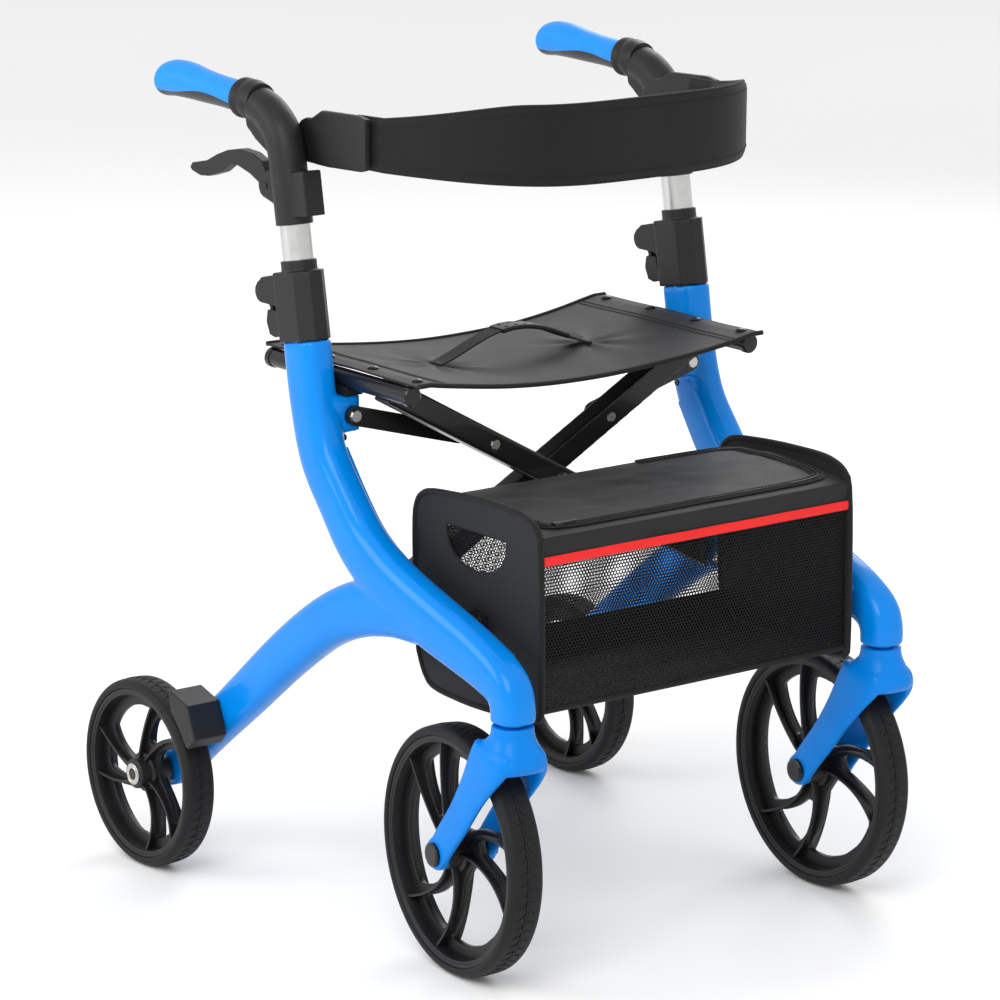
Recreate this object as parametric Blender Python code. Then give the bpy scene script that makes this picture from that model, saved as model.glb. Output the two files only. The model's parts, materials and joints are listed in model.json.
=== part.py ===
"""Folding four-wheeled walker with a sling seat, a bag and a backrest strap.

Everything is modelled in a design frame whose y = 0 is the casters' swivel axis,
with x = 0 on the middle plane and z = 0 on the floor. +y is the user's end.
The top empty moves that frame so that the footprint's middle is the origin.
Shapes are made for the left side (+x) and mirrored for the right side.
"""
import bpy
import bmesh
from math import atan2, cos, pi, radians, sin
from mathutils import Matrix, Vector

for stale in list(bpy.data.objects):
    bpy.data.objects.remove(stale, do_unlink=True)

# Driving dimensions, in metres and degrees.
SWIVEL_TO_MIDDLE = 0.3174
GAP = 0.0003
ROUND = 28  # facets round a wheel, with a corner at the floor

FRONT_R = 0.127
REAR_R = 0.1015
FRONT_HALF_W = 0.019
REAR_HALF_W = 0.018
SWIVEL_X = 0.2396
TRAIL = 0.0945
SEAM_Z = 0.2817
CROWN_Z = 0.2792
CASTER_YAW = {"right": -6.2, "left": -3.2}
REAR_X = 0.2848
REAR_Y = 0.570
FORK_HALF_W = 0.032

TUBE_X = 0.2475
TUBE_LEAN = 10.0
TUBE_ORIGIN = Vector((TUBE_X, 0.3349, 0.640))
TUBE_R = 0.0155
TUBE_BORE_R = 0.0158

# Cross brace: arm lengths either side of the crossing, and the angle when open.
CROSS_Z = 0.446
ARM_LOW = 0.2342
ARM_HIGH = 0.250
ARM_ANGLE = 28.9
ARM_HALF = 0.0125
ARM_A_Y = (0.2265, 0.2515)
ARM_B_Y = (0.2565, 0.2815)
BOLT_R = 0.0038
BOLT_HOLE_R = 0.0042
PIVOT_X = ARM_LOW * cos(radians(ARM_ANGLE))
PIVOT_Z = CROSS_Z - ARM_LOW * sin(radians(ARM_ANGLE))

RAIL_X = ARM_HIGH * cos(radians(ARM_ANGLE))
RAIL_Z = CROSS_Z + ARM_HIGH * sin(radians(ARM_ANGLE))
RAIL_R = 0.0095
RAIL_FRONT = 0.190
RAIL_REAR = 0.430

RIVET_ALONG = 0.100
RIVET_X = RIVET_ALONG * cos(radians(ARM_ANGLE))
RIVET_Z = CROSS_Z + RIVET_ALONG * sin(radians(ARM_ANGLE))
LINK_X = 0.220
LINK_Z = 0.531
LINK_Y = (0.2845, 0.2895)
LUG_Y = (0.2900, 0.3180)

BAG_HALF = 0.1970
PANEL_X = (0.1975, 0.2010)

COLORS = {
    "frame_blue": ((0.0, 0.30, 0.86), 0.22, 0.0),
    "fork_blue": ((0.0, 0.28, 0.80), 0.38, 0.0),
    "black_plastic": ((0.030, 0.030, 0.032), 0.50, 0.0),
    "wheel_plastic": ((0.028, 0.029, 0.031), 0.48, 0.0),
    "tyre": ((0.020, 0.021, 0.023), 0.75, 0.0),
    "tube_silver": ((0.62, 0.62, 0.60), 0.32, 0.9),
    "steel": ((0.55, 0.53, 0.50), 0.30, 1.0),
    "black_metal": ((0.016, 0.016, 0.018), 0.35, 0.4),
    "grip_blue": ((0.0, 0.30, 0.86), 0.60, 0.0),
    "fabric": ((0.030, 0.031, 0.034), 0.80, 0.0),
    "webbing": ((0.020, 0.020, 0.022), 0.85, 0.0),
}


def make_material(name, color, roughness, metallic):
    material = bpy.data.materials.new(name)
    material.use_nodes = True
    shader = material.node_tree.nodes["Principled BSDF"]
    shader.inputs["Base Color"].default_value = (*color, 1.0)
    shader.inputs["Roughness"].default_value = roughness
    shader.inputs["Metallic"].default_value = metallic
    material.diffuse_color = (*color, 1.0)
    return material


MATERIALS = {name: make_material(name, *look) for name, look in COLORS.items()}


# Mesh helpers. Each returns a bmesh in the design frame.

def loft(rings, closed=False):
    """Skin rings of equal length, and cap both ends unless they form a loop."""
    mesh = bmesh.new()
    rows = [[mesh.verts.new(point) for point in ring] for ring in rings]
    count = len(rows[0])
    following = rows[1:] + rows[:1] if closed else rows[1:]
    for low, high in zip(rows, following):
        for i in range(count):
            j = (i + 1) % count
            mesh.faces.new((low[i], low[j], high[j], high[i]))
    if not closed:
        mesh.faces.new(rows[0][::-1])
        mesh.faces.new(rows[-1])
    bmesh.ops.recalc_face_normals(mesh, faces=mesh.faces)
    return mesh


def on_axis(axis, along, u, v):
    """A point from its place along an axis and across it."""
    if axis == "X":
        return Vector((along, u, v))
    if axis == "Y":
        return Vector((u, along, v))
    return Vector((u, v, along))


def prism(outline, low, high, axis="X"):
    """A flat outline, extruded along an axis."""
    return loft([[on_axis(axis, level, u, v) for u, v in outline] for level in (low, high)])


def turned(profile, axis="X", centre=(0.0, 0.0), segments=24, hollow=False):
    """A profile of (along, radius) points, turned round an axis."""
    angles = [2 * pi * i / segments for i in range(segments)]
    rings = []
    for along, radius in profile:
        rings.append([on_axis(axis, along, centre[0] + radius * cos(a), centre[1] + radius * sin(a))
                      for a in angles])
    return loft(rings, closed=hollow)


def rod(low, high, radius, axis="X", centre=(0.0, 0.0), segments=12):
    return turned([(low, radius), (high, radius)], axis, centre, segments)


def box(low, high):
    outline = [(low[1], low[2]), (high[1], low[2]), (high[1], high[2]), (low[1], high[2])]
    return prism(outline, low[0], high[0])


def arc(centre, radius, start, end, count):
    """Points on an arc, from a start angle to an end angle in degrees."""
    steps = [radians(start + (end - start) * i / (count - 1)) for i in range(count)]
    return [(centre[0] + radius * cos(a), centre[1] + radius * sin(a)) for a in steps]


def spline(points, per_span):
    """Smooth rows through rows of numbers, with the slope at each."""
    first = [2 * a - b for a, b in zip(points[0], points[1])]
    last = [2 * a - b for a, b in zip(points[-1], points[-2])]
    padded = [first, *points, last]
    rows = []
    for k in range(len(points) - 1):
        p0, p1, p2, p3 = padded[k:k + 4]
        steps = per_span + 1 if k == len(points) - 2 else per_span
        for i in range(steps):
            t = i / per_span
            value = [0.5 * (2 * b + (c - a) * t + (2 * a - 5 * b + 4 * c - d) * t ** 2
                            + (3 * b - a - 3 * c + d) * t ** 3) for a, b, c, d in zip(p0, p1, p2, p3)]
            slope = [0.5 * ((c - a) + 2 * (2 * a - 5 * b + 4 * c - d) * t
                            + 3 * (3 * b - a - 3 * c + d) * t ** 2) for a, b, c, d in zip(p0, p1, p2, p3)]
            rows.append((value, slope))
    return rows


def squircle(power, count):
    """Unit section between an ellipse (power 2) and a rectangle."""
    points = []
    for i in range(count):
        a = 2 * pi * (i + 0.5) / count
        u = abs(cos(a)) ** (2 / power) * (1 if cos(a) > 0 else -1)
        v = abs(sin(a)) ** (2 / power) * (1 if sin(a) > 0 else -1)
        points.append((u, v))
    return points


def limb(points, per_span, power=2.8, count=12):
    """Sweep a rounded section along rows of (x, y, z, half thickness, half depth)."""
    section = squircle(power, count)
    rings = []
    for (x, y, z, thick, deep), slope in spline(points, per_span):
        across = Vector((0, -slope[2], slope[1])).normalized()
        centre = Vector((x, y, z))
        rings.append([centre + Vector((u * thick, 0, 0)) + across * (v * deep) for u, v in section])
    return loft(rings)


def temporary(mesh):
    data = bpy.data.meshes.new("temporary")
    mesh.to_mesh(data)
    mesh.free()
    holder = bpy.data.objects.new("temporary", data)
    bpy.context.scene.collection.objects.link(holder)
    return holder


def boolean(mesh, tools, operation):
    """Join tools to a mesh, or cut them from it."""
    base = temporary(mesh)
    helpers = [temporary(tool) for tool in tools]
    for helper in helpers:
        modifier = base.modifiers.new(operation, "BOOLEAN")
        modifier.operation = operation
        modifier.object = helper
    bpy.context.view_layer.update()
    graph = bpy.context.evaluated_depsgraph_get()
    data = bpy.data.meshes.new_from_object(base.evaluated_get(graph))
    result = bmesh.new()
    result.from_mesh(data)
    bmesh.ops.remove_doubles(result, verts=result.verts, dist=1e-6)
    bmesh.ops.dissolve_degenerate(result, edges=result.edges, dist=1e-6)
    bpy.data.meshes.remove(data)
    for holder in (base, *helpers):
        bpy.data.objects.remove(holder, do_unlink=True)
    return result


def join(mesh, *tools):
    return boolean(mesh, tools, "UNION")


def cut(mesh, *tools):
    return boolean(mesh, tools, "DIFFERENCE")


def moved(mesh, matrix):
    bmesh.ops.transform(mesh, matrix=matrix, verts=mesh.verts)
    return mesh


def on_tube(mesh):
    """Place a shape drawn about the z axis onto the leaning handle tube."""
    lean = Matrix.Rotation(radians(-TUBE_LEAN), 4, "X")
    return moved(mesh, Matrix.Translation(TUBE_ORIGIN) @ lean)


def tube_point(along, across=0.0):
    """(y, z) of a point along and across the handle tube."""
    lean = radians(TUBE_LEAN)
    y = TUBE_ORIGIN.y + along * sin(lean) + across * cos(lean)
    z = TUBE_ORIGIN.z + along * cos(lean) - across * sin(lean)
    return y, z


# The tree of bodies, as empties on the joints' axes.

PLACES = {}


def body(name, at, parent=None, yaw=0.0):
    empty = bpy.data.objects.new(name, None)
    empty.empty_display_size = 0.03
    bpy.context.scene.collection.objects.link(empty)
    PLACES[name] = Vector(at)
    if parent:
        empty.parent = bpy.data.objects[parent]
        empty.location = PLACES[name] - PLACES[parent]
    else:
        empty.location = (0.0, -SWIVEL_TO_MIDDLE, 0.0)
    empty.rotation_euler = (0.0, 0.0, radians(yaw))
    return name


def add(name, mesh, material, owner, side="left", smooth=35.0):
    """Make a named solid on a body; the right side is the left one's mirror image."""
    if side == "right":
        moved(mesh, Matrix.Scale(-1, 4, (1, 0, 0)))
    bmesh.ops.recalc_face_normals(mesh, faces=mesh.faces)
    data = bpy.data.meshes.new(name)
    mesh.to_mesh(data)
    mesh.free()
    data.shade_smooth()
    data.set_sharp_from_angle(angle=radians(smooth))
    data.materials.append(MATERIALS[material])
    solid = bpy.data.objects.new(name, data)
    bpy.context.scene.collection.objects.link(solid)
    solid.parent = bpy.data.objects[owner]
    solid.location = -PLACES[owner]
    return solid


# Side frame: a strut that bends into the front leg, and a rear leg.

def frame_limbs():
    top_y, top_z = tube_point(-0.0363)
    low_y, low_z = tube_point(-0.0963)
    strut = [
        (TUBE_X, top_y, top_z, 0.0188, 0.0268),
        (TUBE_X, low_y, low_z, 0.0188, 0.0265),
        (0.2470, 0.3010, 0.490, 0.0192, 0.0268),
        (0.2460, 0.2706, 0.4487, 0.0195, 0.0275),
        (0.2450, 0.2394, 0.4129, 0.0195, 0.0295),
        (0.2440, 0.1991, 0.3857, 0.0195, 0.0310),
        (0.2432, 0.1629, 0.3704, 0.0195, 0.0305),
        (0.2422, 0.1195, 0.3561, 0.0195, 0.0297),
        (0.2408, 0.0600, 0.3380, 0.0195, 0.0272),
        (0.2400, 0.0282, 0.3262, 0.0197, 0.0248),
        (SWIVEL_X, 0.0072, 0.3135, 0.0199, 0.0224),
        (SWIVEL_X, 0.0, 0.2975, 0.0200, 0.0206),
        (SWIVEL_X, 0.0, SEAM_Z, 0.0200, 0.0200),
    ]
    rear = [
        (0.2424, 0.1400, 0.3580, 0.0185, 0.0290),
        (0.2432, 0.1900, 0.3570, 0.0190, 0.0305),
        (0.2440, 0.2450, 0.3430, 0.0192, 0.0292),
        (0.2444, 0.3000, 0.3165, 0.0192, 0.0272),
        (0.2444, 0.3674, 0.2692, 0.0188, 0.0260),
        (0.2442, 0.4455, 0.2060, 0.0180, 0.0242),
        (0.2440, 0.5216, 0.1446, 0.0176, 0.0220),
        (0.2440, REAR_Y, REAR_R, 0.0174, 0.0205),
    ]
    return strut, rear


def side_frame(arm_y):
    strut, rear = frame_limbs()
    mesh = limb(strut, 1)
    end_boss = rod(0.2440 - 0.0174, 0.2440 + 0.0174, 0.0207, "X", (REAR_Y, REAR_R), 16)
    lug = box((0.2090, LUG_Y[0], 0.5130), (0.2400, LUG_Y[1], 0.5505))
    ears = []
    for low, high in ((arm_y[0] - 0.0055, arm_y[0] - GAP), (arm_y[1] + GAP, arm_y[1] + 0.0055)):
        outline = [(0.2380, 0.3200), (0.2380, 0.3520), *arc((PIVOT_X, PIVOT_Z), 0.0120, 90, 270, 5)]
        ears.append(prism(outline, low, high, "Y"))
    mesh = join(mesh, limb(rear, 1), end_boss, lug, *ears)
    tube_bore = on_tube(rod(-0.137, 0.0, 0.0160, "Z", (0.0, 0.0), 16))
    stem_bore = rod(0.2700, 0.3200, 0.0058, "Z", (SWIVEL_X, 0.0), 24)
    axle_bore = rod(0.2200, 0.2700, 0.0062, "X", (REAR_Y, REAR_R))
    pin_bore = rod(arm_y[0] - 0.01, arm_y[1] + 0.01, BOLT_HOLE_R, "Y", (PIVOT_X, PIVOT_Z), 8)
    bolt_bore = rod(0.2800, 0.3080, BOLT_HOLE_R, "Y", (LINK_X, LINK_Z), 8)
    return cut(mesh, tube_bore, stem_bore, axle_bore, pin_bore, bolt_bore)


def frame_cover():
    """Thin cover along the inner face, from below the lug to the head."""
    strut, _ = frame_limbs()
    rings = []
    for (x, y, z, thick, deep), slope in spline(strut[2:10], 1):
        across = Vector((0, -slope[2], slope[1])).normalized() * (0.58 * deep)
        inner = x - thick - GAP
        centre = Vector((0, y, z))
        rings.append([centre + across + Vector((inner, 0, 0)), centre - across + Vector((inner, 0, 0)),
                      centre - across * 0.92 + Vector((inner - 0.0018, 0, 0)),
                      centre + across * 0.92 + Vector((inner - 0.0018, 0, 0))])
    return loft(rings)


# Casters and wheels.

def front_fork():
    neck_profile = [(CROWN_Z, 0.0212), (0.2700, 0.0214), (0.2620, 0.0245), (0.2540, 0.0295), (0.2460, 0.0315),
                    (0.2360, 0.0312)]
    neck = turned(neck_profile, "Z", (0.0, 0.0), 16)
    outline = [(0.0290, 0.2560), (0.0375, 0.2430), (0.0480, 0.2180), (0.0675, 0.1860), (0.0960, 0.1500),
               *arc((TRAIL, FRONT_R), 0.0165, 30, -150, 6), (0.0540, 0.1467), (0.0270, 0.1797),
               (-0.0040, 0.2165), (-0.0220, 0.2300), (-0.0330, 0.2410), (-0.0340, 0.2500), (-0.0270, 0.2575)]
    legs = prism(outline, -FORK_HALF_W, FORK_HALF_W)
    bevel_edges = [edge for edge in legs.edges if abs(edge.verts[0].co.x - edge.verts[1].co.x) < 1e-6]
    bmesh.ops.bevel(legs, geom=bevel_edges, offset=0.0045, segments=1, affect="EDGES", profile=0.5)
    slot_profile = [(-0.0225, 0.1170), (-0.0205, 0.1265), (-0.0140, 0.1325), (0.0, 0.1350), (0.0140, 0.1325),
                    (0.0205, 0.1265), (0.0225, 0.1170)]
    slot = turned(slot_profile, "X", (TRAIL, FRONT_R), 28)
    stem = turned(stem_profile(), "Z", (0.0, 0.0), 8)
    axle_bore = rod(-0.05, 0.05, 0.0062, "X", (TRAIL, FRONT_R))
    mesh = cut(join(neck, legs, stem), slot, axle_bore)
    return moved(mesh, Matrix.Translation((SWIVEL_X, 0, 0)))


def stem_profile():
    """Pivot stem that stands on the crown, with its bearing ring in the seam."""
    return [(0.2650, 0.0055), (CROWN_Z - 0.001, 0.0055), (CROWN_Z - 0.001, 0.0120),
            (SEAM_Z - GAP, 0.0120), (SEAM_Z - GAP, 0.0055), (0.3180, 0.0055)]


def front_axle():
    inner = FORK_HALF_W + GAP
    outer = FORK_HALF_W + 0.0045
    profile = [(-outer, 0.0100), (-outer + 0.0012, 0.0125), (-inner, 0.0125), (-inner, 0.0059),
               (inner, 0.0059), (inner, 0.0125), (outer - 0.0012, 0.0125), (outer, 0.0100)]
    return turned([(SWIVEL_X + along, radius) for along, radius in profile], "X", (TRAIL, FRONT_R), 12)


def window(inner_r, outer_r, start, end, swirl, spoke):
    """Outline of one gap between curved spokes, about the origin."""
    points = []
    radii = [inner_r + (outer_r - inner_r) * i / 3 for i in range(4)]
    for r in radii:
        points.append((r, start + swirl * (r - inner_r) / (outer_r - inner_r) + spoke / r * 57.3))
    last = end + swirl - spoke / outer_r * 57.3
    first = points[-1][1]
    for i in range(1, 4):
        points.append((outer_r, first + (last - first) * i / 4))
    for r in radii[::-1]:
        points.append((r, end + swirl * (r - inner_r) / (outer_r - inner_r) - spoke / r * 57.3))
    return [(r * cos(radians(a)), r * sin(radians(a))) for r, a in points]


def wheel(x, y, z, radius, half_w, hub_low, hub_high, turn, seat=None):
    """Moulded wheel: hub, web with three large and three small windows, and rim."""
    rim_out = radius - 0.0200
    rim_in = radius - 0.0330
    rim_half = half_w - 0.0020
    profile = [(hub_low, 0.0062), (hub_low, 0.0165), (-0.0070, 0.0185), (-0.0070, rim_in),
               (-rim_half, rim_in + 0.003), (-rim_half, rim_out), (rim_half, rim_out),
               (rim_half, rim_in + 0.003), (0.0070, rim_in), (0.0070, 0.0185), (hub_high, 0.0165)]
    if seat:
        profile += [(hub_high, seat[0]), (hub_high - seat[1], seat[0]), (hub_high - seat[1], 0.0062)]
    else:
        profile += [(hub_high, 0.0062)]
    mesh = turned(profile, "X", (0.0, 0.0), ROUND, hollow=True)
    tools = []
    for k in range(3):
        base = turn + 120 * k
        for start, end in ((base, base + 74), (base + 74, base + 120)):
            outline = window(0.030 * radius / FRONT_R + 0.002, rim_in - 0.003, start, end, 24, 0.0062)
            tools.append(prism(outline, -0.03, 0.03))
    mesh = cut(mesh, *tools)
    return moved(mesh, Matrix.Translation((x, y, z)))


def tyre(x, y, z, radius, half_w):
    low = radius - 0.0197
    profile = [(-half_w + 0.0025, low), (-half_w, low + 0.006), (-half_w + 0.002, radius - 0.005),
               (-half_w * 0.5, radius), (half_w * 0.5, radius),
               (half_w - 0.002, radius - 0.005), (half_w, low + 0.006), (half_w - 0.0025, low)]
    mesh = turned(profile, "X", (0.0, 0.0), ROUND, hollow=True)
    return moved(mesh, Matrix.Translation((x, y, z)))


def rear_axle():
    outer = REAR_X + 0.0219
    profile = [(0.2235, 0.0085), (0.2440 - 0.0174 - GAP, 0.0085), (0.2440 - 0.0174 - GAP, 0.0059),
               (outer - 0.0008, 0.0059), (outer, 0.0050)]
    return turned(profile, "X", (REAR_Y, REAR_R), 12)


def rear_bearing():
    outer = REAR_X + 0.0219
    profile = [(outer - 0.0066, 0.0062), (outer - 0.0066, 0.0115), (outer - 0.0002, 0.0115), (outer - 0.0002, 0.0062)]
    return turned(profile, "X", (REAR_Y, REAR_R), 12, hollow=True)


# Rear brake: a housing on the leg over the tyre, and a shoe that swings onto it.

SHOE_PIVOT = (0.5056, 0.1935)


def tyre_arc(radius, start, end, count):
    return arc((REAR_Y, REAR_R), radius, start, end, count)


def brake_housing():
    outline = [(0.5030, 0.2090), (0.4690, 0.1990), (0.4555, 0.1650), (0.4660, 0.1535), (0.4720, 0.1535),
               *tyre_arc(REAR_R + 0.0092, 151, 130, 5), (0.5030, 0.1990)]
    return prism(outline, 0.2440 + 0.0184 + GAP, 0.3035)


def brake_shoe():
    outline = [*tyre_arc(REAR_R + 0.0022, 149, 127, 6), *tyre_arc(REAR_R + 0.0088, 127, 149, 6)]
    return prism(outline, 0.2700, 0.2996)


# Height clamp on top of the strut, and its flip lever.

CLAMP_PIVOT = (0.057, 0.015)


def clamp_body():
    half_x = 0.0193
    half_y = 0.0268
    chamfer = 0.0120
    outline = [(-half_x, -half_y + chamfer), (-half_x + chamfer, -half_y), (half_x - chamfer, -half_y),
               (half_x, -half_y + chamfer), (half_x, half_y - 0.006), (half_x - 0.006, half_y),
               (-half_x + 0.006, half_y), (-half_x, half_y - 0.006)]
    block = prism(outline, -0.0360, 0.0340, "Z")
    collar = rod(0.0300, 0.0450, 0.0185, "Z", (0.0, 0.0), 16)
    ear_outline = [(0.0150, 0.0325), (0.0540, 0.0300), *arc(CLAMP_PIVOT, 0.0115, 60, -70, 6),
                   (0.0480, 0.0020), (0.0360, 0.0), (0.0290, -0.0060), (0.0150, -0.0200)]
    ear = prism(ear_outline, -0.0105, 0.0105)
    slot = box((-0.0062, 0.0440, -0.0300), (0.0062, 0.0800, 0.0270))
    pin = rod(-0.0080, 0.0080, 0.0028, "X", CLAMP_PIVOT, 8)
    mesh = join(cut(join(block, collar, ear), slot), pin)
    bore = rod(-0.0500, 0.0600, TUBE_BORE_R, "Z", (0.0, 0.0), 16)
    return on_tube(cut(mesh, bore))


def clamp_lever():
    tongue = prism([*arc(CLAMP_PIVOT, 0.0072, 100, -100, 7), (0.0480, -0.0120), (0.0455, -0.0050)], -0.0056, 0.0056)
    paddle = prism([(0.0360, -0.0045), (0.0520, -0.0035), (0.0560, -0.0150), (0.0525, -0.0285), (0.0440, -0.0320),
                    (0.0330, -0.0310), (0.0300, -0.0250), (0.0345, -0.0180)], -0.0088, 0.0088)
    hole = rod(-0.02, 0.02, 0.0032, "X", CLAMP_PIVOT, 8)
    return on_tube(cut(join(tongue, paddle), hole))


# Handle: tube, head with the lever's pin, grip, and brake lever.

LEVER_PIVOT = (0.384, 0.7545)


def handle_tube():
    profile = [(-0.1015, TUBE_R - 0.003), (-0.1015, TUBE_R), (0.1370, TUBE_R), (0.1370, TUBE_R - 0.003)]
    return on_tube(turned(profile, "Z", (0.0, 0.0), 16, hollow=True))


def handle_head():
    low = tube_point(0.0805)
    mid = tube_point(0.1150)
    path = [(TUBE_X, *low, 0.0183, 0.0190), (TUBE_X, *mid, 0.0185, 0.0190), (TUBE_X, 0.3628, 0.7920, 0.0187, 0.0192),
            (TUBE_X, 0.3715, 0.8110, 0.0187, 0.0192), (TUBE_X, 0.3900, 0.8260, 0.0182, 0.0188),
            (TUBE_X, 0.4100, 0.8335, 0.0180, 0.0182)]
    sleeve = limb(path, 2, 2.1, 16)
    collar_profile = [(0.4060, 0.0178), (0.4120, 0.0190), (0.4200, 0.0205), (0.4260, 0.0190), (0.4300, 0.0208),
                      (0.4340, 0.0205), (0.4360, 0.0190)]
    collar = turned(collar_profile, "Y", (TUBE_X, 0.8365), 14)
    core = turned([(0.4300, 0.0100), (0.5600, 0.0100)], "Y", (TUBE_X, 0.8375), 8)
    latch = on_tube(box((-0.0115, -0.0390, 0.0880), (0.0115, -0.0120, 0.1330)))
    ear_outline = [(0.3600, 0.7350), (0.3740, 0.7390), *arc(LEVER_PIVOT, 0.0125, -70, 70, 7),
                   (0.3780, 0.7720), (0.3600, 0.7750)]
    ear = prism(ear_outline, TUBE_X - 0.0110, TUBE_X + 0.0110)
    gusset_outline = [(0.3600, 0.7850), (0.3830, 0.7900), (0.4000, 0.7985), (0.4170, 0.8110), (0.4200, 0.8250),
                      (0.3800, 0.8250)]
    gusset = prism(gusset_outline, TUBE_X - 0.0110, TUBE_X + 0.0110)
    mesh = join(sleeve, collar, core, latch, ear, gusset)
    slot = box((TUBE_X - 0.0069, 0.3743, 0.7300), (TUBE_X + 0.0069, 0.4100, 0.7895))
    pin = rod(TUBE_X - 0.0120, TUBE_X + 0.0120, 0.0030, "X", LEVER_PIVOT, 8)
    bore = on_tube(rod(0.0600, 0.1375, TUBE_BORE_R, "Z", (0.0, 0.0), 16))
    return join(cut(mesh, slot, bore), pin)


def grip():
    stations = [(0.4364, 0.8365, 0.0160, 0.0150), (0.4450, 0.8370, 0.0168, 0.0156), (0.4700, 0.8382, 0.0164, 0.0156),
                (0.5000, 0.8400, 0.0166, 0.0168), (0.5300, 0.8425, 0.0180, 0.0186), (0.5520, 0.8425, 0.0188, 0.0188),
                (0.5680, 0.8400, 0.0184, 0.0174), (0.5740, 0.8385, 0.0160, 0.0145)]
    rings = []
    for (y, z, wide, high), _ in spline(stations, 1):
        toe = 0.0019 * (y - 0.4364) / 0.1376
        rings.append([Vector((TUBE_X + toe + wide * cos(2 * pi * i / 14), y, z + high * sin(2 * pi * i / 14)))
                      for i in range(14)])
    return cut(loft(rings), turned([(0.4200, 0.0105), (0.5605, 0.0105)], "Y", (TUBE_X, 0.8375), 8))


def brake_lever():
    outline = [(0.5265, 0.7540), (0.5223, 0.7592), (0.4961, 0.7649), (0.4774, 0.7737), (0.4589, 0.7804),
               (0.4370, 0.7844), (0.4152, 0.7831), (0.3980, 0.7770), *arc(LEVER_PIVOT, 0.0093, 70, 300, 8),
               (0.4000, 0.7535), (0.4191, 0.7617), (0.4409, 0.7671), (0.4555, 0.7651), (0.4704, 0.7557),
               (0.4927, 0.7489), (0.5076, 0.7475), (0.5225, 0.7507)]
    mesh = prism(outline, TUBE_X - 0.0063, TUBE_X + 0.0063)
    return cut(mesh, rod(0.20, 0.30, 0.0034, "X", LEVER_PIVOT, 8))


# Backrest bracket and strap.

KNUCKLE = (0.352, 0.802)
STRAP_HALF_THICK = 0.005


def backrest_bracket():
    outline = [(0.2560, 0.7840), (0.2640, 0.7815), (0.3200, 0.7790), *arc(KNUCKLE, 0.0228, -100, 100, 10),
               (0.3300, 0.8345), (0.2700, 0.8370), (0.2560, 0.8345)]
    return prism(outline, 0.2215, 0.2285)


def strap_route():
    """Plan of the strap's middle surface, from the left bracket to the right one."""
    half = [(0.2148, 0.2850), (0.2146, 0.2650)]
    for x in (0.2120, 0.2040, 0.1900, 0.1700, 0.1450, 0.1100, 0.0600):
        half.append((x, 0.0937 + 0.1848 * (x / 0.222) ** 4.22))
    return half + [(0.0, 0.0937)] + [(-x, y) for x, y in half[::-1]]


def backrest_strap():
    route = strap_route()
    rings = []
    for i, (x, y) in enumerate(route):
        before = route[max(i - 1, 0)]
        after = route[min(i + 1, len(route) - 1)]
        along = Vector((after[0] - before[0], after[1] - before[1], 0)).normalized()
        normal = Vector((along.y, -along.x, 0)) * STRAP_HALF_THICK
        reach = min(abs(x) / 0.222, 1.0)
        blend = min(max((reach - 0.598) / 0.693, 0.0), 1.0)
        low = 0.7786 + 0.0053 * reach ** 2
        high = 0.8567 - 0.0428 * blend ** 2 * (3 - 2 * blend)
        place = Vector((x, y, 0))
        rings.append([place + normal + Vector((0, 0, low)), place - normal + Vector((0, 0, low)),
                      place - normal + Vector((0, 0, high)), place + normal + Vector((0, 0, high))])
    return loft(rings)


# Seat: rails, sling and pull strap.

def seat_rail():
    profile = [(RAIL_FRONT, RAIL_R - 0.0015), (RAIL_FRONT + 0.0015, RAIL_R), (RAIL_REAR - 0.0015, RAIL_R),
               (RAIL_REAR, RAIL_R - 0.0015)]
    return turned(profile, "Y", (RAIL_X, RAIL_Z), 12)


def seat_top(x):
    """Height of the sling's upper face across the seat."""
    return 0.5812 - 0.0200 * (1 - min(abs(x) / 0.2080, 1.0) ** 2)


def seat_sling():
    thick = 0.0032
    rings = []
    for i in range(15):
        x = 0.2225 * (1 - 2 * i / 14)
        top = seat_top(x)
        rings.append([Vector((x, 0.172, top - thick)), Vector((x, 0.440, top - thick)),
                      Vector((x, 0.440, top)), Vector((x, 0.172, top))])
    return loft(rings)


def pull_strap():
    start, end = -0.105, 0.093
    rings = []
    for i in range(13):
        t = i / 12
        x = start + (end - start) * t
        low = seat_top(x) + 0.0008 + 0.032 * sin(pi * t) ** 1.3
        rings.append([Vector((x, 0.295, low)), Vector((x, 0.315, low)),
                      Vector((x, 0.315, low + 0.0025)), Vector((x, 0.295, low + 0.0025))])
    return loft(rings)


def rail_saddle():
    block = box((0.2065, LUG_Y[0], 0.5505 + GAP), (0.2284, LUG_Y[1], 0.5610))
    return cut(block, rod(0.28, 0.33, RAIL_R + GAP, "Y", (RAIL_X, RAIL_Z), 24))


# Cross brace: two arms, their bolts, and the side links.

def arm(y_range, rivet_along):
    """Arm with its lower end at the left; the brace's other arm is its mirror image."""
    lower_end = arc((-ARM_LOW, 0.0), ARM_HALF, 90, 270, 7)
    outline = [*lower_end, (ARM_HIGH - 0.003, -ARM_HALF), (ARM_HIGH - 0.003, ARM_HALF)]
    bar = prism(outline, *y_range, "Y")
    reach = (y_range[0] - 0.01, y_range[1] + 0.01)
    tools = [rod(*reach, BOLT_HOLE_R, "Y", (place, 0.0), 8) for place in (-ARM_LOW, 0.0, rivet_along)]
    tools.append(rod(*reach, RAIL_R + GAP, "Y", (ARM_HIGH, 0.0), 24))
    bar = cut(bar, *tools)
    turn = Matrix.Rotation(radians(-ARM_ANGLE), 4, "Y")
    return moved(bar, Matrix.Translation((0.0, 0.0, CROSS_Z)) @ turn)


def bolt(profile, at, segments=8):
    return turned(profile, "Y", at, segments)


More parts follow.
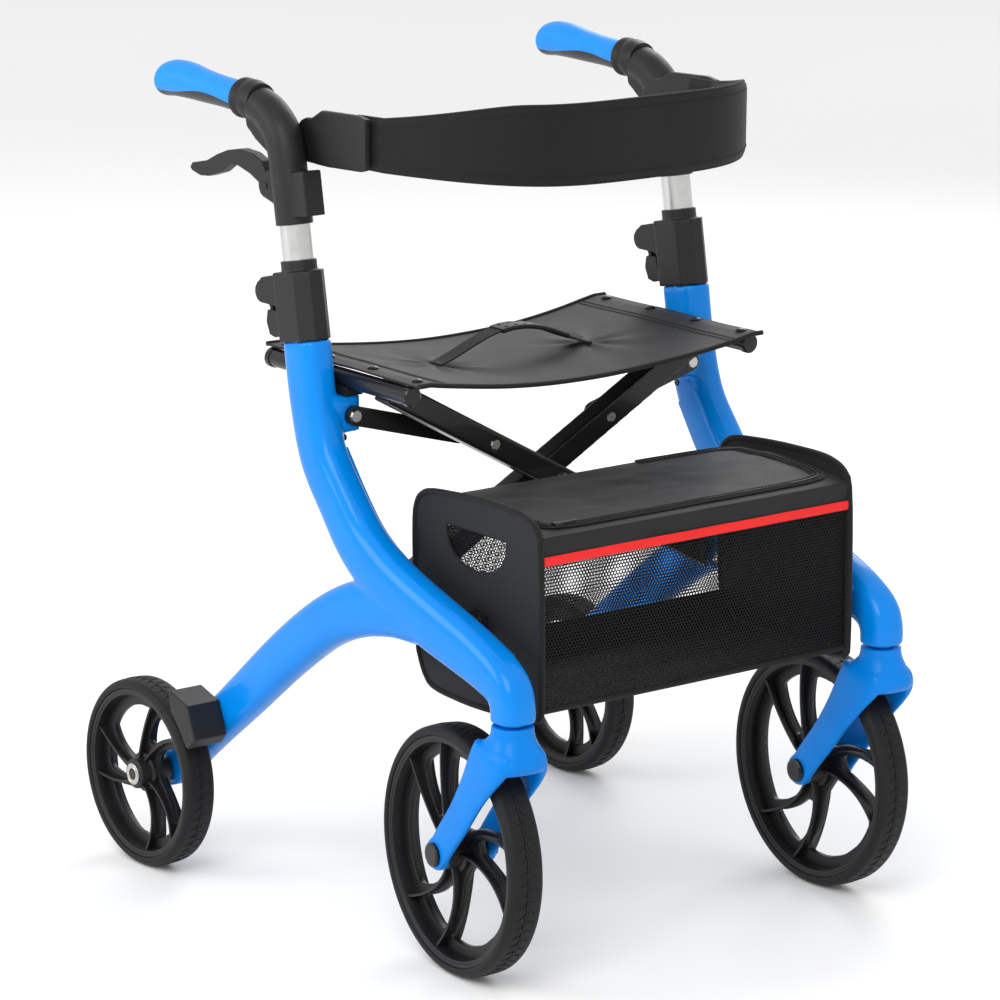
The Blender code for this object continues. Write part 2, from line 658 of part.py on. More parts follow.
def plain_bolt(low, high, head=0.0070, shank=BOLT_R):
    """Headed at both ends of a stack, with the heads just clear of it."""
    return [(low - 0.0030, head - 0.001), (low - GAP, head), (low - GAP, shank),
            (high + GAP, shank), (high + GAP, head), (high + 0.0030, head - 0.001)]


def side_link():
    ends = ((LINK_X, LINK_Z), (RIVET_X, RIVET_Z))
    tilt = atan2(ends[0][1] - ends[1][1], ends[0][0] - ends[1][0]) * 57.2958
    outline = [*arc(ends[0], 0.0100, tilt - 90, tilt + 90, 7), *arc(ends[1], 0.0100, tilt + 90, tilt + 270, 7)]
    return cut(prism(outline, *LINK_Y, "Y"), rod(0.27, 0.30, BOLT_HOLE_R, "Y", ends[0], 8))


# Bag: stiff side panels, a hollow fabric body and a lid.

def bag_panel():
    outline = [(0.0061, 0.2791), (0.0110, 0.2730), (0.1099, 0.2655), (0.1825, 0.2690), (0.1960, 0.2830),
               (0.2076, 0.3110), (0.2118, 0.4400), (0.2060, 0.4600), (0.1900, 0.4700), (0.1200, 0.4755),
               (0.0476, 0.4765), (0.0220, 0.4700), (0.0082, 0.4552)]
    hand_hole = [(0.0620, 0.4437), *arc((0.0900, 0.4317), 0.0285, 180, 270, 4),
                 *arc((0.1300, 0.4317), 0.0285, 270, 360, 4), (0.1580, 0.4437)]
    return cut(prism(outline, *PANEL_X), prism(hand_hole, 0.19, 0.21))


def bag_body():
    outer = [(0.0075, 0.2800), (0.0110, 0.2755), (0.1100, 0.2680), (0.1800, 0.2715), (0.1930, 0.2850),
             (0.2050, 0.3120), (0.2085, 0.4540), (0.0085, 0.4540)]
    inner = [(0.0105, 0.2830), (0.1100, 0.2712), (0.1780, 0.2745), (0.1900, 0.2865),
             (0.2020, 0.3125), (0.2055, 0.4700), (0.0115, 0.4700)]
    shell = prism(outer, -BAG_HALF, BAG_HALF)
    return cut(shell, prism(inner, -BAG_HALF + 0.0025, BAG_HALF - 0.0025))


def bag_lid():
    outline = [(0.0090, 0.4545), (0.2080, 0.4545), (0.2080, 0.4600), (0.1500, 0.4670), (0.0600, 0.4670),
               (0.0090, 0.4590)]
    return prism(outline, -BAG_HALF + 0.001, BAG_HALF - 0.001)


# Assembly.

body("side_frame_right_body", (0.0, 0.0, 0.0))
body("brace_arm_b_body", (-PIVOT_X, 0.0, PIVOT_Z), "side_frame_right_body")
body("brace_arm_a_body", (0.0, 0.0, CROSS_Z), "brace_arm_b_body")
body("side_frame_left_body", (PIVOT_X, 0.0, PIVOT_Z), "brace_arm_a_body")
body("rail_right_body", (-RAIL_X, 0.0, RAIL_Z), "brace_arm_a_body")
body("rail_left_body", (RAIL_X, 0.0, RAIL_Z), "brace_arm_b_body")
body("bag_lid_body", (0.0, 0.2080, 0.4560), "side_frame_right_body")

SIDES = {"right": (-1, ARM_B_Y), "left": (1, ARM_A_Y)}
for side, (sign, arm_y) in SIDES.items():
    frame = f"side_frame_{side}_body"
    add(f"side_frame_{side}", side_frame(arm_y), "frame_blue", frame, side, 50)
    add(f"frame_cover_{side}", frame_cover(), "frame_blue", frame, side)
    add(f"clamp_body_{side}", clamp_body(), "black_plastic", frame, side)
    add(f"rail_saddle_{side}", rail_saddle(), "black_plastic", frame, side)
    add(f"brake_housing_{side}", brake_housing(), "black_plastic", frame, side)
    add(f"rear_axle_{side}", rear_axle(), "black_metal", frame, side)
    pin = plain_bolt(arm_y[0] - 0.0055, arm_y[1] + 0.0055, 0.0065)
    add(f"brace_pin_{side}", bolt(pin, (PIVOT_X, PIVOT_Z)), "steel", frame, side)
    link_bolt = [(LINK_Y[0] - 0.0030, 0.0060), (LINK_Y[0] - GAP, 0.0070), (LINK_Y[0] - GAP, BOLT_R), (0.3070, BOLT_R)]
    add(f"link_bolt_{side}", bolt(link_bolt, (LINK_X, LINK_Z)), "steel", frame, side)
    add(f"bag_panel_{side}", bag_panel(), "fabric", frame, side)

    caster = body(f"caster_{side}_body", (sign * SWIVEL_X, 0.0, SEAM_Z), frame, CASTER_YAW[side])
    add(f"front_fork_{side}", front_fork(), "fork_blue", caster, side, 25)
    add(f"front_axle_{side}", front_axle(), "black_metal", caster, side)
    roller = body(f"front_wheel_{side}_body", (sign * SWIVEL_X, TRAIL, FRONT_R), caster)
    hub = FORK_HALF_W - 0.0105
    add(f"front_wheel_{side}", wheel(SWIVEL_X, TRAIL, FRONT_R, FRONT_R, FRONT_HALF_W, -hub, hub, 20),
        "wheel_plastic", roller, side)
    add(f"front_tyre_{side}", tyre(SWIVEL_X, TRAIL, FRONT_R, FRONT_R, FRONT_HALF_W), "tyre", roller, side)
    roller = body(f"rear_wheel_{side}_body", (sign * REAR_X, REAR_Y, REAR_R), frame)
    add(f"rear_wheel_{side}", wheel(REAR_X, REAR_Y, REAR_R, REAR_R, REAR_HALF_W, -0.0222, 0.0219, 50,
                                    (0.0118, 0.0070)), "wheel_plastic", roller, side)
    add(f"rear_tyre_{side}", tyre(REAR_X, REAR_Y, REAR_R, REAR_R, REAR_HALF_W), "tyre", roller, side)
    add(f"rear_bearing_{side}", rear_bearing(), "steel", roller, side)
    shoe = body(f"brake_shoe_{side}_body", (sign * REAR_X, *SHOE_PIVOT), frame)
    add(f"brake_shoe_{side}", brake_shoe(), "tyre", shoe, side)

    flip = body(f"clamp_lever_{side}_body", (sign * TUBE_X, *tube_point(CLAMP_PIVOT[1], CLAMP_PIVOT[0])), frame)
    add(f"clamp_lever_{side}", clamp_lever(), "black_plastic", flip, side)
    handle = body(f"handle_{side}_body", (sign * TUBE_X, TUBE_ORIGIN.y, TUBE_ORIGIN.z), frame)
    add(f"handle_tube_{side}", handle_tube(), "tube_silver", handle, side)
    add(f"handle_head_{side}", handle_head(), "black_plastic", handle, side)
    add(f"grip_{side}", grip(), "grip_blue", handle, side)
    lever = body(f"brake_lever_{side}_body", (sign * TUBE_X, *LEVER_PIVOT), handle)
    add(f"brake_lever_{side}", brake_lever(), "black_plastic", lever, side)
    bracket = body(f"backrest_{side}_body", (sign * 0.2244, *KNUCKLE), handle)
    add(f"backrest_bracket_{side}", backrest_bracket(), "black_plastic", bracket, side)

    add(f"seat_rail_{side}", seat_rail(), "black_metal", f"rail_{side}_body", side)
    link = body(f"side_link_{side}_body", (sign * LINK_X, LINK_Y[0], LINK_Z), frame)
    add(f"side_link_{side}", side_link(), "black_metal", link, side)

add("brace_arm_a", arm(ARM_A_Y, RIVET_ALONG), "black_metal", "brace_arm_a_body", "right")
add("brace_arm_b", arm(ARM_B_Y, RIVET_ALONG), "black_metal", "brace_arm_b_body")
add("centre_bolt", bolt(plain_bolt(ARM_A_Y[0], ARM_B_Y[1], 0.0075), (0.0, CROSS_Z)), "steel", "brace_arm_b_body")
for side, arm_y, owner in (("right", ARM_A_Y, "brace_arm_a_body"), ("left", ARM_B_Y, "brace_arm_b_body")):
    rivet = [(arm_y[0] - 0.0022, 0.0050), (arm_y[0] - GAP, 0.0060), (arm_y[0] - GAP, 0.0036),
             (arm_y[1] + GAP, 0.0036), (arm_y[1] + GAP, 0.0060), (LINK_Y[0] - GAP, 0.0060)]
    add(f"link_spacer_{side}", bolt(rivet, (RIVET_X, RIVET_Z)), "steel", owner, side)

add("seat_sling", seat_sling(), "fabric", "rail_right_body")
add("pull_strap", pull_strap(), "webbing", "rail_right_body")
add("backrest_strap", backrest_strap(), "fabric", "backrest_right_body")
add("bag_body", bag_body(), "fabric", "side_frame_right_body")
add("bag_lid", bag_lid(), "fabric", "bag_lid_body")
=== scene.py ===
import json
from math import atan2, cos, degrees, pi, radians, sin, sqrt, tau

import bmesh
import bpy
from mathutils import Matrix, Vector, noise


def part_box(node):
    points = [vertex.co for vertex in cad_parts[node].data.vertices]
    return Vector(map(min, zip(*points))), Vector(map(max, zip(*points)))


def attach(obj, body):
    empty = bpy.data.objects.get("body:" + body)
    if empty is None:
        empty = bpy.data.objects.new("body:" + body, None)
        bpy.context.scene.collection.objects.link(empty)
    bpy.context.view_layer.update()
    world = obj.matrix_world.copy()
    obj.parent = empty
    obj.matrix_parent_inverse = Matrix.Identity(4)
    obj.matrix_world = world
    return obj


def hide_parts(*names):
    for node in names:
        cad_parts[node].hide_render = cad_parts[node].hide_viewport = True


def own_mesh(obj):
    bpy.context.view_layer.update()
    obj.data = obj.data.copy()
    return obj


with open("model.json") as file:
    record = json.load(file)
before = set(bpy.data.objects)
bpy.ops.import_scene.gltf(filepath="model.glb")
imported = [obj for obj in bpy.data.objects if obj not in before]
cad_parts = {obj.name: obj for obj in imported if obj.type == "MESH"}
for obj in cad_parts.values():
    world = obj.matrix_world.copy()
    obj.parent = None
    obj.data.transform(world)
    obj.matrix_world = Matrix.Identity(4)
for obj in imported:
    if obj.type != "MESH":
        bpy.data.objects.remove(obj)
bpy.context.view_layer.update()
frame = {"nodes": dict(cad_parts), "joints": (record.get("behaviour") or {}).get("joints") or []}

joints = {joint["name"]: joint for joint in frame["joints"]}
nodes = frame["nodes"]
swivelY = joints["caster_left_swivel"]["pos_m"][1]  # shapes below count y from the caster axis
swivelX = joints["caster_left_swivel"]["pos_m"][0]
tubeX = joints["brake_lever_left_squeeze"]["pos_m"][0]
frontHub = (0.0945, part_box("front_tyre_left")[1].z / 2)
rearHub = (joints["rear_wheel_left_spin"]["pos_m"][1] - swivelY, joints["rear_wheel_left_spin"]["pos_m"][2])
rearX = joints["rear_wheel_left_spin"]["pos_m"][0]
signs = {"left": 1, "right": -1}


# Mesh tools

def skin(rings, closed=False):
    bm = bmesh.new()
    rows = [[bm.verts.new(point) for point in ring] for ring in rings]
    count = len(rows[0])
    for low, high in zip(rows, rows[1:] + rows[:1] if closed else rows[1:]):
        for i in range(count):
            bm.faces.new((low[i], low[(i + 1) % count], high[(i + 1) % count], high[i]))
    if not closed:
        bm.faces.new(rows[0][::-1])
        bm.faces.new(rows[-1])
    bmesh.ops.recalc_face_normals(bm, faces=bm.faces)
    return bm


def onAxis(axis, along, u, v):
    return {"X": Vector((along, u, v)), "Y": Vector((u, along, v)), "Z": Vector((u, v, along))}[axis]


def plate(outline, low, high, axis="X"):
    return skin([[onAxis(axis, level, u, v) for u, v in outline] for level in (low, high)])


def block(low, high):
    (left, front, foot), (right, back, top) = low, high
    return plate([(front, foot), (back, foot), (back, top), (front, top)], left, right)


def lathe(profile, axis="X", centre=(0.0, 0.0), segments=64, hollow=False):
    rings = []
    for along, radius in profile:
        rings.append([onAxis(axis, along, centre[0] + radius * cos(tau * i / segments),
                             centre[1] + radius * sin(tau * i / segments)) for i in range(segments)])
    return skin(rings, closed=hollow)


def arc(centre, radius, start, end, count):
    steps = [radians(start + (end - start) * i / (count - 1)) for i in range(count)]
    return [(centre[0] + radius * cos(a), centre[1] + radius * sin(a)) for a in steps]


def signedPower(value, power):
    return abs(value) ** power * (1 if value > 0 else -1)


def flow(points, perSpan):
    # smooth rows through rows of numbers, each with its slope
    first = [2 * a - b for a, b in zip(points[0], points[1])]
    last = [2 * a - b for a, b in zip(points[-1], points[-2])]
    padded = [first, *points, last]
    rows = []
    for k in range(len(points) - 1):
        four = padded[k:k + 4]
        for i in range(perSpan + (k == len(points) - 2)):
            t = i / perSpan
            value = [0.5 * (2 * b + (c - a) * t + (2 * a - 5 * b + 4 * c - d) * t ** 2
                            + (3 * b - a - 3 * c + d) * t ** 3) for a, b, c, d in zip(*four)]
            slope = [0.5 * ((c - a) + 2 * (2 * a - 5 * b + 4 * c - d) * t
                            + 3 * (3 * b - a - 3 * c + d) * t ** 2) for a, b, c, d in zip(*four)]
            rows.append((value, slope))
    return rows


def sweep(stations, perSpan=6, power=2.8, count=40):
    # rounded section along rows of x, y, z, half thickness, half depth
    section = []
    for i in range(count):
        a = tau * (i + 0.5) / count
        section.append((signedPower(cos(a), 2 / power), signedPower(sin(a), 2 / power)))
    rings = []
    for (x, y, z, thick, deep), slope in flow(stations, perSpan):
        across = Vector((0, -slope[2], slope[1])).normalized()
        rings.append([Vector((x, y, z)) + Vector((u * thick, 0, 0)) + across * (v * deep)
                      for u, v in section])
    return skin(rings)


def tube(points, radius, sides=10, closed=False):
    # round cord along points
    path = [Vector(p) for p in points]
    rings = []
    side = None
    for i, point in enumerate(path):
        before = path[i - 1] if i or closed else path[0]
        after = path[(i + 1) % len(path)] if i < len(path) - 1 or closed else path[-1]
        along = (after - before).normalized()
        if side is None:
            side = along.orthogonal().normalized()
        side = (side - along * side.dot(along)).normalized()
        other = along.cross(side)
        rings.append([point + (side * cos(tau * k / sides) + other * sin(tau * k / sides)) * radius
                      for k in range(sides)])
    return skin(rings, closed)


def holder(bm, name="holder"):
    data = bpy.data.meshes.new(name)
    bm.to_mesh(data)
    obj = bpy.data.objects.new(name, data)
    bpy.context.scene.collection.objects.link(obj)
    return obj


def baked(obj):
    # the evaluated mesh of a helper object, which is then removed
    bpy.context.view_layer.update()
    data = bpy.data.meshes.new_from_object(obj.evaluated_get(bpy.context.evaluated_depsgraph_get()))
    bm = bmesh.new()
    bm.from_mesh(data)
    bpy.data.meshes.remove(data)
    bpy.data.objects.remove(obj, do_unlink=True)
    return bm


def together(parts):
    whole = bmesh.new()
    for part in parts:
        data = bpy.data.meshes.new("part")
        part.to_mesh(data)
        whole.from_mesh(data)
        bpy.data.meshes.remove(data)
    return whole


def fuse(parts, voxel, rounds):
    # one moulded skin over several closed shapes, with its edges softened
    obj = holder(together(parts))
    remesh = obj.modifiers.new("skin", "REMESH")
    remesh.mode = "VOXEL"
    remesh.voxel_size = voxel
    soften = obj.modifiers.new("soften", "SMOOTH")
    soften.factor = 0.5
    soften.iterations = rounds
    return baked(obj)


def carve(bm, tools):
    obj = holder(bm)
    cutters = [holder(tool, "cutter") for tool in tools]
    for cutter in cutters:
        modifier = obj.modifiers.new("carve", "BOOLEAN")
        modifier.operation = "DIFFERENCE"
        modifier.object = cutter
    result = baked(obj)
    for cutter in cutters:
        bpy.data.objects.remove(cutter, do_unlink=True)
    return result


def cadCopy(node):
    # a merged copy of a CAD node, at its place in the row frame
    bm = bmesh.new()
    bm.from_mesh(nodes[node].data)
    bmesh.ops.remove_doubles(bm, verts=bm.verts, dist=1e-5)
    return bm


def shifted(bm, matrix):
    bmesh.ops.transform(bm, matrix=matrix, verts=bm.verts)
    return bm


def onTube(bm):
    lean = Matrix.Rotation(radians(-10.0), 4, "X")
    return shifted(bm, Matrix.Translation((tubeX, 0.3349, 0.640)) @ lean)


def toRow(bm, side):
    shifted(bm, Matrix.Translation((0, swivelY, 0)))
    if side == "right":
        shifted(bm, Matrix.Scale(-1, 4, (1, 0, 0)))
        bmesh.ops.reverse_faces(bm, faces=bm.faces)
    return bm


def casterTurn(side):
    axis = joints[f"front_wheel_{side}_spin"]["axis"]
    pivot = Matrix.Translation((signs[side] * swivelX, swivelY, 0))
    return pivot @ Matrix.Rotation(atan2(axis[1], axis[0]), 4, "Z") @ pivot.inverted()


def makePiece(name, bm, look, body, replaced=(), angle=35):
    data = bpy.data.meshes.new(name)
    bm.to_mesh(data)
    bm.free()
    data.shade_smooth()
    data.set_sharp_from_angle(angle=radians(angle))
    data.materials.clear()
    data.materials.append(looks[look])
    obj = bpy.data.objects.new(name, data)
    bpy.context.scene.collection.objects.link(obj)
    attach(obj, body)
    if replaced:
        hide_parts(*replaced)
    return obj


def pair(name, bm, look, body, replaced=(), onCaster=False, angle=35):
    # a piece for each side, from one made for the left
    for side in signs:
        copy = toRow(bm.copy(), side)
        if onCaster:
            shifted(copy, casterTurn(side))
        makePiece(f"{name}_{side}", copy, look, f"{body}_{side}",
                  [f"{node}_{side}" for node in replaced], angle)


def centrePiece(name, bm, look, body, replaced=(), angle=35):
    # a piece that spans both sides
    return makePiece(name, toRow(bm, "left"), look, body, replaced, angle)


# Node trees

def addNode(tree, kind, values=(), **settings):
    node = tree.nodes.new(kind)
    for key, value in settings.items():
        setattr(node, key, value)
    for key, value in dict(values).items():
        node.inputs[key].default_value = value
    return node


def wire(tree, *links):
    # each link is a node, its output, a node and its input
    for source, output, target, entry in links:
        tree.links.new(source.outputs[output], target.inputs[entry])


def newTree(name, **inputs):
    tree = bpy.data.node_groups.new(name, "GeometryNodeTree")
    for label, kind in (("Geometry", "Geometry"), *inputs.items(), ("Material", "Material")):
        tree.interface.new_socket(label, in_out="INPUT", socket_type="NodeSocket" + kind)
    tree.interface.new_socket("Geometry", in_out="OUTPUT", socket_type="NodeSocketGeometry")
    return tree, tree.nodes.new("NodeGroupInput"), tree.nodes.new("NodeGroupOutput")


def finishTree(tree, start, end, copies):
    realize = addNode(tree, "GeometryNodeRealizeInstances")
    paint = addNode(tree, "GeometryNodeSetMaterial")
    wire(tree, (copies, 0, realize, 0), (realize, 0, paint, "Geometry"),
         (start, "Material", paint, "Material"), (paint, 0, end, 0))
    return tree


def radialTree():
    # copies of the input geometry, turned evenly about X
    tree, start, end = newTree("turnedCopies", Count="Int")
    line = addNode(tree, "GeometryNodeMeshLine", {"Offset": (0, 0, 0)})
    step = addNode(tree, "ShaderNodeMath", {0: tau}, operation="DIVIDE")
    turn = addNode(tree, "ShaderNodeMath", operation="MULTIPLY")
    index = addNode(tree, "GeometryNodeInputIndex")
    spin = addNode(tree, "ShaderNodeCombineXYZ")
    copies = addNode(tree, "GeometryNodeInstanceOnPoints")
    wire(tree, (start, "Count", line, "Count"), (start, "Count", step, 1), (step, 0, turn, 0),
         (index, 0, turn, 1), (turn, 0, spin, "X"), (line, 0, copies, "Points"),
         (start, "Geometry", copies, "Instance"), (spin, 0, copies, "Rotation"))
    return finishTree(tree, start, end, copies)


def pointTree():
    # a copy of an object on each point of the input
    tree, start, end = newTree("itemsOnPoints", Item="Object")
    info = addNode(tree, "GeometryNodeObjectInfo")
    copies = addNode(tree, "GeometryNodeInstanceOnPoints")
    wire(tree, (start, "Geometry", copies, "Points"), (start, "Item", info, "Object"),
         (info, "Geometry", copies, "Instance"))
    return finishTree(tree, start, end, copies)


def seamTree():
    # stitches along a path of edges, at an even pitch
    tree, start, end = newTree("stitchedPath", Item="Object", Pitch="Float")
    curve = addNode(tree, "GeometryNodeMeshToCurve")
    spaced = addNode(tree, "GeometryNodeCurveToPoints", mode="LENGTH")
    info = addNode(tree, "GeometryNodeObjectInfo")
    align = addNode(tree, "FunctionNodeAlignRotationToVector", axis="X")
    copies = addNode(tree, "GeometryNodeInstanceOnPoints")
    wire(tree, (start, "Geometry", curve, "Mesh"), (curve, 0, spaced, "Curve"),
         (start, "Pitch", spaced, "Length"), (spaced, "Tangent", align, "Vector"),
         (start, "Item", info, "Object"), (info, "Geometry", copies, "Instance"),
         (spaced, "Points", copies, "Points"), (align, 0, copies, "Rotation"))
    return finishTree(tree, start, end, copies)


trees = {"radial": radialTree(), "points": pointTree(), "seam": seamTree()}


def grown(bm, tree, values):
    # runs a tree on a mesh and returns the plain result
    obj = holder(bm)
    modifier = obj.modifiers.new("grow", "NODES")
    modifier.node_group = trees[tree]
    for item in trees[tree].interface.items_tree:
        if item.in_out == "INPUT" and item.name in values:
            modifier[item.identifier] = values[item.name]
    obj.update_tag()
    return baked(obj)


def around(bm, count, look):
    return grown(bm, "radial", {"Count": count, "Material": looks[look]})


def onPoints(points, itemMesh, look):
    bm = bmesh.new()
    for point in points:
        bm.verts.new(point)
    item = holder(itemMesh, "item")
    result = grown(bm, "points", {"Item": item, "Material": looks[look]})
    bpy.data.objects.remove(item, do_unlink=True)
    return result


def stitched(paths, pitch, length, thick, look):
    bm = bmesh.new()
    for path in paths:
        verts = [bm.verts.new(point) for point in path]
        for a, b in zip(verts, verts[1:]):
            bm.edges.new((a, b))
    half = length / 2
    stitch = [(-half, 0, 0), (-half * 0.6, 0, thick), (half * 0.6, 0, thick), (half, 0, 0)]
    item = holder(tube(stitch, thick, 6), "item")
    result = grown(bm, "seam", {"Item": item, "Pitch": pitch, "Material": looks[look]})
    bpy.data.objects.remove(item, do_unlink=True)
    return result


# Materials

def surface(name, color, rough, metal=0.0, coat=0.0, grain=(900, 0.1), mottle=(40, 0.08), sheen=0.0,
            stretch=(1, 1, 1), shine=0.5):
    # moulded, painted or metal surface: grain is a fine bump, mottle varies the roughness
    material = bpy.data.materials.new(name)
    material.use_nodes = True
    tree = material.node_tree
    shader = tree.nodes["Principled BSDF"]
    for key, value in (("Metallic", metal), ("Coat Weight", coat), ("Coat Roughness", 0.06),
                       ("Sheen Weight", sheen), ("Specular IOR Level", shine)):
        shader.inputs[key].default_value = value
    place = addNode(tree, "ShaderNodeTexCoord")
    scale = addNode(tree, "ShaderNodeMapping", {"Scale": stretch})
    fine = addNode(tree, "ShaderNodeTexNoise", {"Scale": grain[0], "Detail": 3})
    bump = addNode(tree, "ShaderNodeBump", {"Strength": grain[1], "Distance": 0.0006})
    broad = addNode(tree, "ShaderNodeTexNoise", {"Scale": mottle[0], "Detail": 4})
    limits = addNode(tree, "ShaderNodeMapRange", {"To Min": max(rough - mottle[1], 0.03),
                                                  "To Max": min(rough + mottle[1], 1.0)})
    tint = addNode(tree, "ShaderNodeMix", {"A": (*[c * 0.88 for c in color], 1),
                                           "B": (*[min(c * 1.1, 1) for c in color], 1)}, data_type="RGBA")
    wire(tree, (place, "Object", scale, "Vector"), (scale, 0, fine, "Vector"), (fine, "Fac", bump, "Height"),
         (bump, 0, shader, "Normal"), (place, "Object", broad, "Vector"), (broad, "Fac", limits, "Value"),
         (limits, 0, shader, "Roughness"), (broad, "Fac", tint, "Factor"),
         (tint, "Result", shader, "Base Color"))
    return material


def openLook(material):
    # the parts of a finished material that a second layer is joined to
    tree = material.node_tree
    return tree, tree.nodes["Principled BSDF"], next(n for n in tree.nodes if n.type == "TEX_COORD")


def woven(name, color, rough, threads, depth, sheen=0.2):
    # cloth: two crossed sets of threads over the base surface
    material = surface(name, color, rough, grain=(700, 0.1), mottle=(25, 0.06), sheen=sheen, shine=0.25)
    tree, shader, place = openLook(material)
    waves = []
    for turn in ((0, 0, radians(45)), (radians(90), radians(45), radians(-45))):
        mapping = addNode(tree, "ShaderNodeMapping", {"Rotation": turn})
        wave = addNode(tree, "ShaderNodeTexWave", {"Scale": threads, "Distortion": 0.4},
                       bands_direction="DIAGONAL")
        wire(tree, (place, "Object", mapping, "Vector"), (mapping, 0, wave, "Vector"))
        waves.append(wave)
    cross = addNode(tree, "ShaderNodeMath", operation="MAXIMUM")
    bump = addNode(tree, "ShaderNodeBump", {"Strength": depth, "Distance": 0.0004})
    wire(tree, (waves[0], "Fac", cross, 0), (waves[1], "Fac", cross, 1), (cross, 0, bump, "Height"),
         (bump, 0, shader, "Normal"))
    return material


gripSet = {"waves": 46.0, "waveHigh": 0.0035, "lineZ": 0.8335}


def gripLook():
    # blue above and black below, with a wavy line between them along the grip
    material = surface("gripRubber", (0.0, 0.235, 0.74), 0.42, grain=(1400, 0.18), mottle=(60, 0.05),
                       shine=0.3)
    tree, shader, place = openLook(material)
    blue = next(n for n in tree.nodes if n.type == "MIX")
    parts = addNode(tree, "ShaderNodeSeparateXYZ")
    wave = addNode(tree, "ShaderNodeMath", operation="SINE")
    stretch = addNode(tree, "ShaderNodeMath", {1: gripSet["waves"]}, operation="MULTIPLY")
    level = addNode(tree, "ShaderNodeMath", {1: gripSet["waveHigh"], 2: gripSet["lineZ"]},
                    operation="MULTIPLY_ADD")
    below = addNode(tree, "ShaderNodeMath", operation="GREATER_THAN")
    paint = addNode(tree, "ShaderNodeMix", {"A": (0.018, 0.018, 0.02, 1)}, data_type="RGBA")
    wire(tree, (place, "Object", parts, 0), (parts, "Y", stretch, 0), (stretch, 0, wave, 0),
         (wave, 0, level, 0), (parts, "Z", below, 0), (level, 0, below, 1), (below, 0, paint, "Factor"),
         (blue, "Result", paint, "B"), (paint, "Result", shader, "Base Color"))
    return material


looks = {
    "paint": surface("glossBluePaint", (0.0, 0.205, 0.68), 0.24, coat=0.2, grain=(260, 0.02),
                     mottle=(18, 0.04), shine=0.12),
    "forkPaint": surface("satinBluePaint", (0.0, 0.190, 0.64), 0.38, coat=0.06, grain=(420, 0.05),
                         mottle=(30, 0.05), shine=0.12),
    "plastic": surface("charcoalPlastic", (0.010, 0.010, 0.011), 0.46, grain=(1500, 0.28),
                       mottle=(70, 0.07), shine=0.3),
    "wheel": surface("wheelNylon", (0.008, 0.008, 0.009), 0.40, grain=(1100, 0.22), mottle=(60, 0.08),
                     shine=0.3),
    "tyre": surface("tyreRubber", (0.007, 0.007, 0.008), 0.58, grain=(800, 0.3), mottle=(45, 0.1),
                    shine=0.25),
    "aluminium": surface("satinAluminium", (0.60, 0.60, 0.59), 0.30, metal=1.0, grain=(500, 0.08),
                         mottle=(90, 0.07), stretch=(1, 1, 0.03)),
    "steel": surface("zincSteel", (0.52, 0.50, 0.47), 0.28, metal=1.0, grain=(900, 0.12),
                     mottle=(150, 0.1)),
    "blackMetal": surface("blackEnamel", (0.006, 0.006, 0.007), 0.30, coat=0.15, grain=(500, 0.06),
                          mottle=(50, 0.07), shine=0.3),
    "nylon": woven("greyNylon", (0.009, 0.009, 0.010), 0.60, 420, 0.35, 0.05),
    "pad": woven("blackPadding", (0.005, 0.005, 0.006), 0.78, 300, 0.4, 0.08),
    "web": woven("blackWebbing", (0.005, 0.005, 0.005), 0.80, 170, 0.8, 0.08),
    "binding": woven("blackBinding", (0.004, 0.004, 0.004), 0.70, 260, 0.5, 0.06),
    "thread": surface("blackThread", (0.012, 0.012, 0.013), 0.75, grain=(2500, 0.3), shine=0.25),
    "red": woven("redPiping", (0.74, 0.012, 0.010), 0.50, 400, 0.3, 0.05),
    "mesh": surface("blackMesh", (0.004, 0.004, 0.005), 0.60, grain=(1500, 0.2), shine=0.2),
    "grip": gripLook(),
}
print("materials ready")

nodeLooks = {
    "front_axle": "blackMetal", "rear_axle": "blackMetal", "side_link": "blackMetal",
    "rail_saddle": "plastic", "brake_shoe": "tyre", "brace_pin": "steel", "link_bolt": "steel",
    "link_spacer": "steel",
}
plainNodes = {f"{stem}_{side}": look for stem, look in nodeLooks.items() for side in signs}
plainNodes["centre_bolt"] = "steel"
for name, look in plainNodes.items():
    nodes[name].data.materials.clear()
    nodes[name].data.materials.append(looks[look])


# Side frames: one moulding that runs from the clamp to the head, with the rear leg

strut = [
    (0.2475, 0.3286, 0.6043, 0.0188, 0.0268), (0.2475, 0.3182, 0.5452, 0.0188, 0.0265),
    (0.2470, 0.3010, 0.4900, 0.0192, 0.0268), (0.2460, 0.2706, 0.4487, 0.0195, 0.0275),
    (0.2450, 0.2394, 0.4129, 0.0195, 0.0295), (0.2440, 0.1991, 0.3857, 0.0195, 0.0310),
    (0.2432, 0.1629, 0.3704, 0.0195, 0.0305), (0.2422, 0.1195, 0.3561, 0.0195, 0.0297),
    (0.2408, 0.0600, 0.3380, 0.0195, 0.0272), (0.2400, 0.0282, 0.3262, 0.0197, 0.0248),
    (0.2396, 0.0072, 0.3135, 0.0199, 0.0224), (0.2396, 0.0, 0.2975, 0.0200, 0.0206),
    (0.2396, 0.0, 0.2817, 0.0200, 0.0200),
]
rearLeg = [
    (0.2424, 0.1400, 0.3580, 0.0185, 0.0290), (0.2432, 0.1900, 0.3570, 0.0190, 0.0305),
    (0.2440, 0.2450, 0.3430, 0.0192, 0.0292), (0.2444, 0.3000, 0.3165, 0.0192, 0.0272),
    (0.2444, 0.3674, 0.2692, 0.0188, 0.0260), (0.2442, 0.4455, 0.2060, 0.0180, 0.0242),
    (0.2440, 0.5216, 0.1446, 0.0176, 0.0220), (0.2440, 0.5700, 0.1015, 0.0174, 0.0205),
]
frameSet = {"voxel": 0.0021, "rounds": 9, "bossRadius": 0.0207, "earThick": 0.0052, "earRadius": 0.0120}


